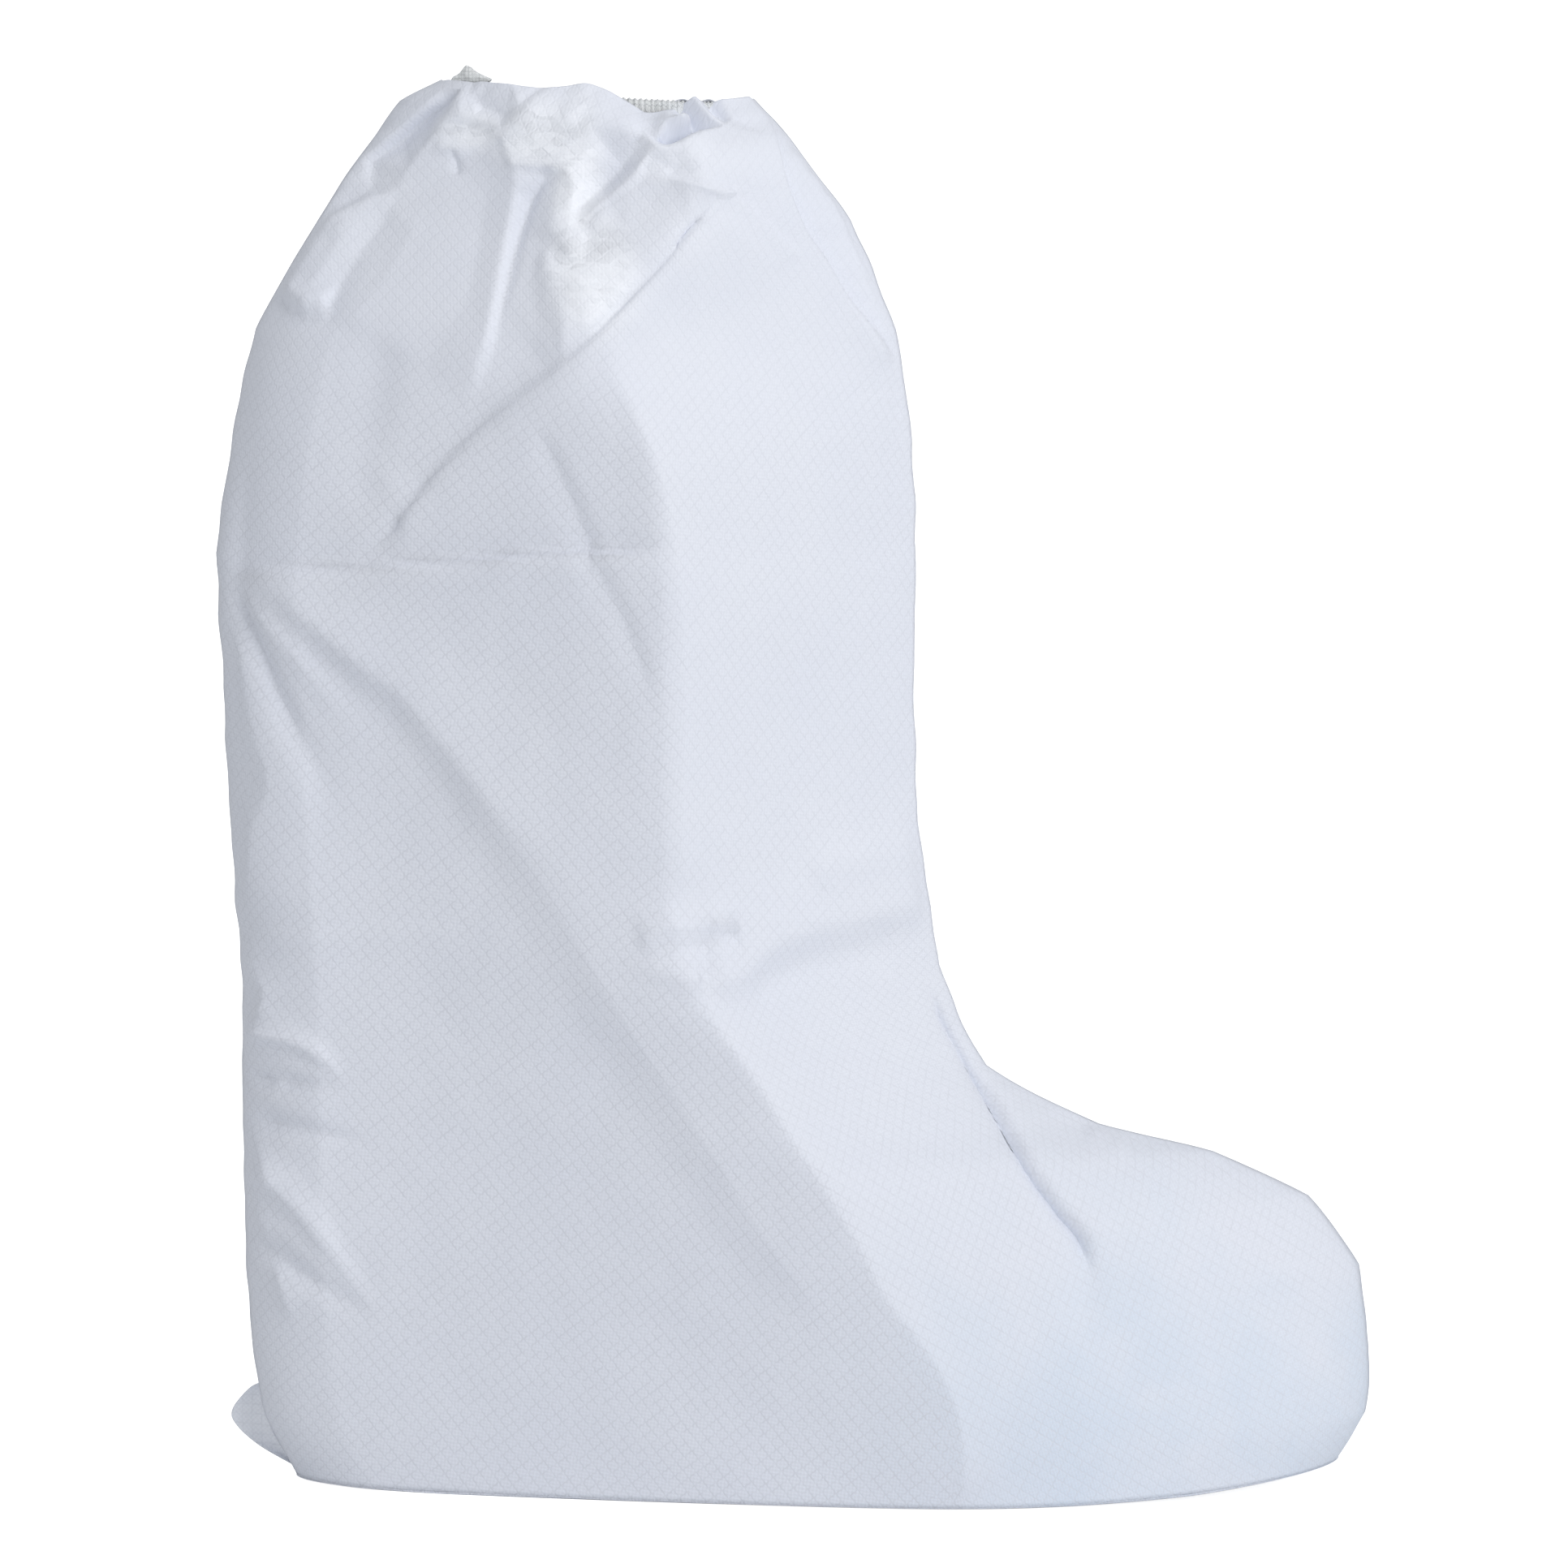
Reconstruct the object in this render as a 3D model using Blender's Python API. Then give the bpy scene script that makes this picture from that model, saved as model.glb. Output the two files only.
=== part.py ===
"""Disposable boot cover: a slack shell of white laminate with a flat sole and a gathered elastic collar.

The cover is sewn from two mirrored side panels, so every section through it has a seam at the back,
a seam at the front and one soft ridge down each side. The toe points along +X and +Z is up.
"""

import math
from collections import namedtuple

import bmesh
import bpy
from mathutils import Vector

# Driving dimensions, in metres
COVER_LENGTH = 0.373
COVER_HEIGHT = 0.454
BALL_WIDTH = 0.118
TOE_SPRING = 0.006
FABRIC = 0.0005
SOLE_THICKNESS = 0.0006
SEAM_GAP = 0.0003

# Elastic that gathers the collar, sewn inside the rim and just showing above it
ELASTIC_HEIGHT = 0.0065
ELASTIC_THICKNESS = 0.0011
ELASTIC_SHOWS = 0.0012

# Folded end of the back seam, standing on the collar
TAB_LENGTH = 0.0105
TAB_WIDTH = 0.0036
TAB_HEIGHT = 0.0056
TAB_SETBACK = 0.0075
TAB_PEAK_SHIFT = -0.0014
TAB_PEAK_LENGTH = 0.35
TAB_PEAK_WIDTH = 0.6
TAB_BEVEL = 0.0007

# Corner of cloth that stands out behind the heel, between two places counted in sections
EAR_LOW = 0.06
EAR_HIGH = 1.42
EAR_SHARE = 0.010
EAR_REACH = 0.0185
EAR_LEAST_REACH = 0.0040
EAR_PEAK = 0.50
EAR_FULLNESS = 0.65
EAR_THICKNESS = 0.0020
EAR_MIDDLE = 0.6
EAR_MIDDLE_THICKNESS = 0.8
EAR_ROWS = 11
EAR_DIRECTION = Vector((-0.97, 0.24, 0.0))

# Mesh resolution
ROWS_PER_SECTION = 2
BACK_STEPS = 13
FRONT_STEPS = 10
EDGE_CROWDING = 1.35

# A section with no roundness is a tent with a straight slope to each seam, one with full roundness an ellipse
TENT_CROWN, TENT_EDGE = 1.3, 1.0
ELLIPSE_CROWN, ELLIPSE_EDGE = 2.0, 0.5

# Sections from the sole up to the collar. Places along X are in percent of the cover's length from its
# middle, heights in percent of the cover's height, depth in percent of the ball's half width. apex is where
# the side ridge lies, as a share of the way from back seam to front seam. The two rounds are how far the
# section is from tent to ellipse behind and ahead of that ridge, and spring is its share of the toe spring.
Section = namedtuple("Section", "name back_x back_z front_x front_z depth apex back_round front_round spring")
SECTIONS = (
    Section("sole edge", -43.6, 0.2, 47.4, 0.2, 98, 0.610, 0.42, 0.90, 1.0),
    Section("low wall", -46.3, 4.4, 49.8, 4.7, 100, 0.615, 0.38, 0.86, 0.0),
    Section("toe wall", -47.3, 9.0, 50.0, 9.5, 100, 0.610, 0.33, 0.80, 0.0),
    Section("toe brow", -47.8, 14.5, 49.0, 15.4, 97, 0.590, 0.28, 0.70, 0.0),
    Section("toe top", -47.9, 18.9, 44.6, 20.4, 94, 0.570, 0.25, 0.60, 0.0),
    Section("vamp", -48.0, 22.9, 36.2, 23.6, 92, 0.590, 0.25, 0.50, 0.0),
    Section("instep", -48.1, 27.7, 26.3, 25.6, 90, 0.630, 0.24, 0.40, 0.0),
    Section("bend", -48.0, 33.5, 16.5, 29.8, 88, 0.660, 0.22, 0.30, 0.0),
    Section("ankle", -48.3, 39.6, 12.5, 37.0, 87, 0.660, 0.20, 0.25, 0.0),
    Section("low shaft", -49.0, 47.6, 10.6, 47.4, 87, 0.655, 0.20, 0.20, 0.0),
    Section("mid shaft", -49.5, 57.7, 10.2, 57.7, 88, 0.655, 0.20, 0.20, 0.0),
    Section("calf", -50.0, 66.5, 10.4, 66.5, 88, 0.650, 0.20, 0.20, 0.0),
    Section("high shaft", -48.5, 74.9, 10.0, 74.5, 86, 0.620, 0.22, 0.22, 0.0),
    Section("shoulder", -46.5, 82.4, 8.6, 82.4, 80, 0.600, 0.28, 0.28, 0.0),
    Section("slope", -41.1, 90.1, 4.7, 90.1, 70, 0.570, 0.42, 0.42, 0.0),
    Section("gather", -36.8, 95.4, 0.3, 95.0, 58, 0.540, 0.66, 0.66, 0.0),
    Section("neck", -33.0, 98.3, -2.0, 97.3, 47, 0.510, 0.92, 0.92, 0.0),
    Section("collar", -30.4, 100.0, -3.6, 98.7, 40, 0.500, 1.00, 1.00, 0.0),
)
COLLAR = len(SECTIONS) - 1
HEEL_TO_BALL = 0.66

LAMINATE = ("laminate", (0.80, 0.82, 0.87), 0.62)
SOLE_LAMINATE = ("sole laminate", (0.76, 0.79, 0.84), 0.55)
ELASTIC = ("elastic", (0.70, 0.73, 0.72), 0.85)


def clear_scene():
    for obj in list(bpy.data.objects):
        bpy.data.objects.remove(obj, do_unlink=True)


def blend_between(columns, place):
    """A smooth curve through one column of the section table, read at a place counted in sections."""
    last = len(columns) - 1
    low = min(int(place), last - 1)
    share = place - low
    before, start = columns[max(low - 1, 0)], columns[low]
    end, after = columns[low + 1], columns[min(low + 2, last)]
    start_slope, end_slope = (end - before) / 2, (after - start) / 2
    rest = 1 - share
    return (
        start * (1 + 2 * share) * rest**2
        + start_slope * share * rest**2
        + end * (3 - 2 * share) * share**2
        - end_slope * rest * share**2
    )


def section_at(place):
    """The section at any place between the tabled ones, in metres."""
    values = [blend_between([row[i] for row in SECTIONS], place) for i in range(1, len(Section._fields))]
    row = Section("between", *values)
    return row._replace(
        back_x=row.back_x / 100 * COVER_LENGTH,
        front_x=row.front_x / 100 * COVER_LENGTH,
        back_z=row.back_z / 100 * COVER_HEIGHT,
        front_z=row.front_z / 100 * COVER_HEIGHT,
        depth=row.depth / 100 * BALL_WIDTH / 2,
    )


def toe_rise(share):
    """How far the sole has lifted at a share of the way from heel to toe."""
    return max(0.0, (share - HEEL_TO_BALL) / (1 - HEEL_TO_BALL)) ** 2


def wall_point(section, share, side):
    """A point of the outer wall: share runs from back seam to front seam, side is -1 or +1 along Y."""
    if share < section.apex:
        from_apex = (section.apex - share) / section.apex
        roundness = section.back_round
    else:
        from_apex = (share - section.apex) / (1 - section.apex)
        roundness = section.front_round
    crown = TENT_CROWN + (ELLIPSE_CROWN - TENT_CROWN) * roundness
    edge = TENT_EDGE + (ELLIPSE_EDGE - TENT_EDGE) * roundness
    fullness = max(0.0, 1 - min(1.0, from_apex) ** crown) ** edge
    return Vector(
        (
            section.back_x + (section.front_x - section.back_x) * share,
            side * section.depth * fullness,
            section.back_z
            + (section.front_z - section.back_z) * share
            + section.spring * TOE_SPRING * toe_rise(share),
        )
    )


def seam_to_seam(section):
    """Shares from back seam to front seam, closer together towards each seam."""
    back = [section.apex * (i / BACK_STEPS) ** EDGE_CROWDING for i in range(BACK_STEPS + 1)]
    front = [1 - (1 - section.apex) * (i / FRONT_STEPS) ** EDGE_CROWDING for i in range(FRONT_STEPS)]
    return back + front[::-1]


def section_ring(place):
    """The whole section as a closed ring: along the near panel to the front seam, back along the far one."""
    section = section_at(place)
    shares = seam_to_seam(section)
    near = [wall_point(section, share, -1) for share in shares]
    far = [wall_point(section, share, 1) for share in shares[-2:0:-1]]
    return near + far


def mesh_object(name, bm, material):
    mesh = bpy.data.meshes.new(name)
    bm.to_mesh(mesh)
    bm.free()
    obj = bpy.data.objects.new(name, mesh)
    bpy.context.scene.collection.objects.link(obj)
    mesh.shade_smooth()
    mesh.set_sharp_from_angle(angle=math.radians(50))
    mesh.materials.append(paint(*material))
    return obj


def paint(name, colour, roughness):
    found = bpy.data.materials.get(name)
    if found:
        return found
    material = bpy.data.materials.new(name)
    material.use_nodes = True
    shader = material.node_tree.nodes["Principled BSDF"]
    shader.inputs["Base Color"].default_value = (*colour, 1)
    shader.inputs["Roughness"].default_value = roughness
    shader.inputs["Metallic"].default_value = 0
    return material


def skin(rings, closed_round=False):
    """A bmesh of quads through rings of points, and back to the first ring where closed_round is set."""
    bm = bmesh.new()
    loops = [[bm.verts.new(point) for point in ring] for ring in rings]
    pairs = list(zip(loops, loops[1:]))
    if closed_round:
        pairs.append((loops[-1], loops[0]))
    for lower, upper in pairs:
        for i in range(len(lower)):
            bm.faces.new((lower[i - 1], lower[i], upper[i], upper[i - 1]))
    return bm


def offset_ring(ring, distance):
    """The ring moved level, along its own outward direction, by a distance."""
    moved = []
    for i, point in enumerate(ring):
        along = ring[(i + 1) % len(ring)] - ring[i - 1]
        outward = Vector((along.y, -along.x, 0)).normalized()
        moved.append(point + outward * distance)
    return moved


def lifted(ring, height):
    return [point + Vector((0, 0, height)) for point in ring]


def build_upper():
    """Both side panels sewn into one open shell, with the wall's thickness inside its outline."""
    count = COLLAR * ROWS_PER_SECTION
    bm = skin([section_ring(COLLAR * i / count) for i in range(count + 1)])
    obj = mesh_object("upper", bm, LAMINATE)
    wall = obj.modifiers.new("wall", "SOLIDIFY")
    wall.thickness = FABRIC
    wall.offset = -1
    return obj


def build_sole():
    """A panel with the outline of the upper's lower edge: flat from heel to ball, then lifting to the toe."""
    ring = section_ring(0)
    half = len(ring) // 2
    drop = Vector((0, 0, ring[0].z - SOLE_THICKNESS))
    top = [point - drop for point in ring]
    bm = bmesh.new()
    verts = [bm.verts.new(point) for point in top]
    for i in range(half):
        corners = (verts[i], verts[i + 1], verts[-i - 1], verts[-i] if i else verts[0])
        bm.faces.new(list(dict.fromkeys(corners)))
    grown = bmesh.ops.extrude_face_region(bm, geom=list(bm.faces))["geom"]
    lower = [v for v in grown if isinstance(v, bmesh.types.BMVert)]
    bmesh.ops.translate(bm, verts=lower, vec=(0, 0, -SOLE_THICKNESS))
    bmesh.ops.recalc_face_normals(bm, faces=list(bm.faces))
    return mesh_object("sole", bm, SOLE_LAMINATE)


def build_collar_elastic():
    """A flat band just inside the collar's rim."""
    rim = section_ring(COLLAR)
    outer = offset_ring(rim, -(FABRIC + SEAM_GAP))
    inner = offset_ring(outer, -ELASTIC_THICKNESS)
    low, high = ELASTIC_SHOWS - ELASTIC_HEIGHT, ELASTIC_SHOWS
    rings = (lifted(outer, low), lifted(outer, high), lifted(inner, high), lifted(inner, low))
    return mesh_object("collar_elastic", skin(rings, closed_round=True), ELASTIC)


def build_back_seam_tab():
    """The folded seam end: a block with its top drawn to a peak."""
    collar = section_at(COLLAR)
    foot = collar.back_z + ELASTIC_SHOWS + SEAM_GAP
    bm = bmesh.new()
    bmesh.ops.create_cube(bm, size=1)
    bmesh.ops.scale(bm, verts=list(bm.verts), vec=(TAB_LENGTH, TAB_WIDTH, TAB_HEIGHT))
    for vert in bm.verts:
        if vert.co.z > 0:
            vert.co.x = vert.co.x * TAB_PEAK_LENGTH + TAB_PEAK_SHIFT
            vert.co.y *= TAB_PEAK_WIDTH
    bmesh.ops.bevel(
        bm, geom=list(bm.edges), offset=TAB_BEVEL, segments=2, profile=0.5, affect="EDGES", material=-1
    )
    place = Vector((collar.back_x + TAB_SETBACK, 0, foot + TAB_HEIGHT / 2))
    bmesh.ops.translate(bm, verts=list(bm.verts), vec=place)
    return mesh_object("back_seam_tab", bm, ELASTIC)


def ear_reach(along):
    """How far the ear stands out, at a share of the way up it."""
    share = along / EAR_PEAK if along < EAR_PEAK else (1 - along) / (1 - EAR_PEAK)
    return EAR_LEAST_REACH + (EAR_REACH - EAR_LEAST_REACH) * share**EAR_FULLNESS


def build_heel_ear():
    """A folded corner of cloth, standing out behind the far side of the heel as a flap."""
    rings = []
    for i in range(EAR_ROWS):
        along = i / (EAR_ROWS - 1)
        section = section_at(EAR_LOW + (EAR_HIGH - EAR_LOW) * along)
        root = wall_point(section, EAR_SHARE, 1)
        tangent = (wall_point(section, EAR_SHARE * 1.5, 1) - root).normalized()
        root += Vector((-tangent.y, tangent.x, 0)) * 2 * SEAM_GAP
        half = tangent * EAR_THICKNESS / 2
        tip = root + EAR_DIRECTION.normalized() * ear_reach(along)
        middle = root.lerp(tip, EAR_MIDDLE)
        inset = half * EAR_MIDDLE_THICKNESS
        rings.append([root + half, root - half, middle - inset, tip, middle + inset])
    bm = skin(rings)
    bmesh.ops.holes_fill(bm, edges=[edge for edge in bm.edges if edge.is_boundary])
    bmesh.ops.triangulate(bm, faces=list(bm.faces))
    bmesh.ops.recalc_face_normals(bm, faces=list(bm.faces))
    return mesh_object("heel_ear", bm, LAMINATE)


def main():
    clear_scene()
    cover = bpy.data.objects.new("boot_cover", None)
    bpy.context.scene.collection.objects.link(cover)
    for build in (build_sole, build_upper, build_collar_elastic, build_back_seam_tab, build_heel_ear):
        build().parent = cover


main()
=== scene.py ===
import math

import bmesh
import bpy
import numpy as np
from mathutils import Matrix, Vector, geometry, noise


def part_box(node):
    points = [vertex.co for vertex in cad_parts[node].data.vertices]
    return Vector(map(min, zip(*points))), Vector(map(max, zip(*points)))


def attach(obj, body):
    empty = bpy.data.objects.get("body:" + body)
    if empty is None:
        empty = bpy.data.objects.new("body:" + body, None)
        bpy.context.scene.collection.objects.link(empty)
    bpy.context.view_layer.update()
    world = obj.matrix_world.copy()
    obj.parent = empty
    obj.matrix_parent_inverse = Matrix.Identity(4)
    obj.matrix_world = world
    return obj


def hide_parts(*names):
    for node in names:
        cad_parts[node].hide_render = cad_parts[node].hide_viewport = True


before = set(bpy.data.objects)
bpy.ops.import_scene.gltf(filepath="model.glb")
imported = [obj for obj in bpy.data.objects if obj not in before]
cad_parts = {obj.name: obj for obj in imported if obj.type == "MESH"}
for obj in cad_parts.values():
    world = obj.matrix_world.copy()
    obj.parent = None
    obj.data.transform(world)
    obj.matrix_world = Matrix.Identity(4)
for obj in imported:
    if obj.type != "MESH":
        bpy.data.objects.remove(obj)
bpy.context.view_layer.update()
mm = 0.001

# The cover's driving sizes, read from the frame
upperLow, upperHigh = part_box("upper")
coverLength = round(upperHigh.x - upperLow.x, 3)
coverHeight = round(upperHigh.z, 3)
ballHalf = round(upperHigh.y - upperLow.y, 3) / 2
print("frame loaded, cover", coverLength, "long,", coverHeight, "high")

# View and light

view = {
    "target": (-0.0038, 0.0, 0.227),
    "distance": 3.0,
    "elevation": 7.0,
    "lens": 213.4,
    "sensor": 36.0,
}

studio = {
    "floorSize": 60.0,
    "floorColour": (0.88, 0.89, 0.90),
    "floorGlow": 0.85,  # only what the camera sees, so the pale floor stays white round the cover
    "floorRough": 0.9,
    "floorGloss": 0.1,
    "worldColour": (0.965, 0.98, 1.0),
    "worldStrength": 0.55,
    "target": (0.0, 0.0, 0.2),
    # place, size across and power of each soft light
    "lights": {
        "key": ((1.41, -1.94, 1.22), 1.4, 22.0),
        "high": ((1.0, -0.46, 2.56), 1.4, 7.0),
        "fill": ((-0.6, -2.2, 1.5), 1.4, 1.0),
    },
    "lightColour": (1.0, 0.99, 0.985),
}


def aim(obj, place, target):
    obj.location = place
    obj.rotation_euler = (Vector(target) - Vector(place)).to_track_quat("-Z", "Y").to_euler()


def addCamera():
    data = bpy.data.cameras.new("camera")
    data.lens = view["lens"]
    data.sensor_width = view["sensor"]
    obj = bpy.data.objects.new("camera", data)
    bpy.context.scene.collection.objects.link(obj)
    rise = math.radians(view["elevation"])
    away = Vector((0.0, -math.cos(rise), math.sin(rise))) * view["distance"]
    aim(obj, Vector(view["target"]) + away, view["target"])
    bpy.context.scene.camera = obj


def addLight():
    world = bpy.data.worlds.new("studioAir")
    world.use_nodes = True
    air = world.node_tree.nodes["Background"]
    air.inputs["Color"].default_value = (*studio["worldColour"], 1.0)
    air.inputs["Strength"].default_value = studio["worldStrength"]
    bpy.context.scene.world = world
    bpy.context.scene.view_settings.view_transform = "Standard"
    for name, (place, size, power) in studio["lights"].items():
        data = bpy.data.lights.new(name, "AREA")
        data.shape = "DISK"
        data.size = size
        data.energy = power
        data.color = studio["lightColour"]
        obj = bpy.data.objects.new(name, data)
        bpy.context.scene.collection.objects.link(obj)
        aim(obj, place, studio["target"])


addCamera()
addLight()
print("camera and light set")

# Shader helpers


def addNode(tree, kind, inputs=None, **settings):
    node = tree.nodes.new(kind)
    for name, value in settings.items():
        setattr(node, name, value)
    for name, value in (inputs or {}).items():
        if isinstance(value, bpy.types.NodeSocket):
            tree.links.new(value, node.inputs[name])
        else:
            node.inputs[name].default_value = value
    return node


def mathNode(tree, operation, first, second=0.0, third=0.0):
    return addNode(tree, "ShaderNodeMath", {0: first, 1: second, 2: third}, operation=operation).outputs[0]


def vectorNode(tree, operation, inputs):
    return addNode(tree, "ShaderNodeVectorMath", inputs, operation=operation).outputs[0]


def rangeNode(tree, value, low, high, newLow, newHigh):
    inputs = {"Value": value, "From Min": low, "From Max": high, "To Min": newLow, "To Max": newHigh}
    return addNode(tree, "ShaderNodeMapRange", inputs, interpolation_type="SMOOTHSTEP").outputs["Result"]


def mixColour(tree, factor, first, second):
    return addNode(tree, "ShaderNodeMix", {0: factor, 6: first, 7: second}, data_type="RGBA").outputs[2]


def noiseNode(tree, vector, scale, detail=2.0, roughness=0.5):
    inputs = {"Vector": vector, "Scale": scale, "Detail": detail, "Roughness": roughness}
    return addNode(tree, "ShaderNodeTexNoise", inputs).outputs


def newGroup(name, inputs, outputs):
    tree = bpy.data.node_groups.new(name, "ShaderNodeTree")
    for label, kind in inputs:
        tree.interface.new_socket(label, in_out="INPUT", socket_type="NodeSocket" + kind)
    for label, kind in outputs:
        tree.interface.new_socket(label, in_out="OUTPUT", socket_type="NodeSocket" + kind)
    return tree, tree.nodes.new("NodeGroupInput").outputs, tree.nodes.new("NodeGroupOutput").inputs


def placeGroup(tree, group, inputs):
    return addNode(tree, "ShaderNodeGroup", inputs, node_tree=group).outputs


def newMaterial(name):
    material = bpy.data.materials.new(name)
    material.use_nodes = True
    tree = material.node_tree
    return material, tree, tree.nodes["Principled BSDF"]


# Pieces and the floor


def finishPiece(name, bm):
    mesh = bpy.data.meshes.new(name)
    bm.to_mesh(mesh)
    bm.free()
    mesh.shade_smooth()
    obj = bpy.data.objects.new(name, mesh)
    bpy.context.scene.collection.objects.link(obj)
    return obj


def flatGrid(segments):
    # a square grid and its points, from -1 to 1 each way
    bm = bmesh.new()
    bmesh.ops.create_grid(bm, x_segments=segments[0], y_segments=segments[1], size=1.0)
    return bm, *np.array([vert.co[:2] for vert in bm.verts]).T


def movePoints(bm, points):
    for vert, point in zip(bm.verts, points):
        vert.co = point


def seatPiece(obj, material, node):
    obj.data.materials.append(material)
    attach(obj, "root")
    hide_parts(node)


def addFloor():
    bm = bmesh.new()
    bmesh.ops.create_grid(bm, x_segments=1, y_segments=1, size=studio["floorSize"] / 2)
    obj = finishPiece("floor", bm)
    material, tree, shader = newMaterial("paleFloor")
    shader.inputs["Base Color"].default_value = (*studio["floorColour"], 1.0)
    shader.inputs["Roughness"].default_value = studio["floorRough"]
    shader.inputs["Specular IOR Level"].default_value = studio["floorGloss"]
    shader.inputs["Emission Color"].default_value = (1.0, 1.0, 1.0, 1.0)
    seen = addNode(tree, "ShaderNodeLightPath").outputs["Is Camera Ray"]
    tree.links.new(mathNode(tree, "MULTIPLY", seen, studio["floorGlow"]), shader.inputs["Emission Strength"])
    obj.data.materials.append(material)


addFloor()
print("floor laid")

# Emboss, crinkle and tone, shared by the cloths, with painted shade in the emboss hollows

embossLook = {
    "drift": 45.0,  # scales of the slow and the quick wander of the lines
    "wobble": 420.0,
    "wobbleShare": 0.5,
    "middle": 0.75,  # where the two wanders together stand still
    "plateau": 0.5,  # how far from a line the cloth is flat again
    "pillows": 4.0,  # fine pillows from line to line
    "pillowShare": 0.3,
    "fibre": (1100.0, 3.0, 0.6),  # scale, detail and roughness
    "fibreRise": 1.1,
    "broken": (300.0, 0.36, 0.6, 0.2),  # scale of the gaps in a line, their noise and how faint they are
    "lineWidth": 0.42,
    "lineDark": 0.75,
    "paintedHollowShade": (1.6, 0.3, 1.3, 0.5),  # share of the fibre in the hollows, where they start and end, and how dark the painted shade in them is
}


def embossGroup():
    tree, given, out = newGroup(
        "diagonalEmboss",
        [("Vector", "Vector"), ("Pitch", "Float"), ("Wander", "Float")],
        [("Height", "Float"), ("Line", "Float")],
    )
    where = given["Vector"]
    drift = noiseNode(tree, where, embossLook["drift"], 1.0)["Color"]
    wobble = noiseNode(tree, where, embossLook["wobble"], 1.0)["Color"]
    both = vectorNode(tree, "MULTIPLY_ADD", {0: wobble, 1: (embossLook["wobbleShare"],) * 3, 2: drift})
    centred = vectorNode(tree, "SUBTRACT", {0: both, 1: (embossLook["middle"],) * 3})
    moved = vectorNode(tree, "SCALE", {0: centred, "Scale": given["Wander"]})
    place = vectorNode(tree, "ADD", {0: where, 1: moved})
    perMetre = mathNode(tree, "DIVIDE", math.pi, given["Pitch"])
    turns = vectorNode(tree, "SCALE", {0: place, "Scale": perMetre})
    axes = addNode(tree, "ShaderNodeSeparateXYZ", {0: turns}).outputs
    across = mathNode(tree, "ABSOLUTE", mathNode(tree, "SINE", axes["X"]))
    along = mathNode(tree, "ABSOLUTE", mathNode(tree, "SINE", axes["Y"]))
    nearest = mathNode(tree, "MINIMUM", across, along)
    share = embossLook["pillowShare"]
    plateau = rangeNode(tree, nearest, 0.0, embossLook["plateau"], 0.0, 1.0)
    finer = [mathNode(tree, "MULTIPLY", axes[axis], embossLook["pillows"]) for axis in "XY"]
    pillow = mathNode(tree, "MULTIPLY", *(mathNode(tree, "SINE", turn) for turn in finer))
    ribbed = mathNode(tree, "MULTIPLY_ADD", pillow, share, mathNode(tree, "MULTIPLY", plateau, 1 - share))
    fibre = noiseNode(tree, where, *embossLook["fibre"])["Fac"]
    tree.links.new(mathNode(tree, "MULTIPLY_ADD", fibre, embossLook["fibreRise"], ribbed), out["Height"])
    scale, low, high, faint = embossLook["broken"]
    broken = rangeNode(tree, noiseNode(tree, where, scale, 1.0)["Fac"], low, high, faint, 1.0)
    thin = rangeNode(tree, nearest, 0.0, embossLook["lineWidth"], 1.0, 0.0)
    # painted shade: the hollows between the pillows are darkened in the colour, standing in for shade
    fibreShare, low, high, hollowShadeDark = embossLook["paintedHollowShade"]
    hollowShade = rangeNode(tree, mathNode(tree, "MULTIPLY_ADD", fibre, fibreShare, pillow), low, high, hollowShadeDark, 0.0)
    dark = mathNode(tree, "MULTIPLY", broken, embossLook["lineDark"])
    tree.links.new(mathNode(tree, "MULTIPLY_ADD", thin, dark, hollowShade), out["Line"])
    return tree


crinkleLook = {
    "bend": (60.0, 0.014),  # scale and reach of the bends in the facets' edges
    "stretch": (0.7, 1.0, 1.5),  # the facets lie flat and wide
    "facets": ((105.0, 0.30), (290.0, 0.32)),  # scale of each set of facets, and how far they lean
    "smooth": 0.08,
}


def crinkleGroup():
    # creased film as small flat facets, each leaning its own way
    tree, given, out = newGroup(
        "filmCrinkle",
        [("Vector", "Vector"), ("Film", "Float"), ("Normal", "Vector")],
        [("Normal", "Vector")],
    )
    scale, reach = crinkleLook["bend"]
    bend = noiseNode(tree, given["Vector"], scale)["Color"]
    shift = vectorNode(tree, "MULTIPLY_ADD", {0: bend, 1: (reach,) * 3, 2: given["Vector"]})
    flatter = vectorNode(tree, "MULTIPLY", {0: shift, 1: crinkleLook["stretch"]})
    normal = given["Normal"]
    for scale, lean in crinkleLook["facets"]:
        inputs = {"Vector": flatter, "Scale": scale, "Smoothness": crinkleLook["smooth"]}
        facets = addNode(tree, "ShaderNodeTexVoronoi", inputs, feature="SMOOTH_F1").outputs["Color"]
        way = vectorNode(tree, "SUBTRACT", {0: facets, 1: (0.5,) * 3})
        tilt = vectorNode(tree, "SCALE", {0: way, "Scale": mathNode(tree, "MULTIPLY", given["Film"], lean)})
        normal = vectorNode(tree, "ADD", {0: normal, 1: tilt})
    tree.links.new(vectorNode(tree, "NORMALIZE", {0: normal}), out["Normal"])
    return tree


toneLook = {"noise": (4.0, 0.6), "band": (0.3, 0.7)}  # detail and roughness, and what is shown of it


def toneGroup():
    tree, given, out = newGroup("clothTone", [("Vector", "Vector"), ("Scale", "Float")], [("Tone", "Float")])
    broad = noiseNode(tree, given["Vector"], given["Scale"], *toneLook["noise"])["Fac"]
    tree.links.new(rangeNode(tree, broad, *toneLook["band"], 0.0, 1.0), out["Tone"])
    return tree


emboss = embossGroup()
crinkle = crinkleGroup()
tone = toneGroup()

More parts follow.
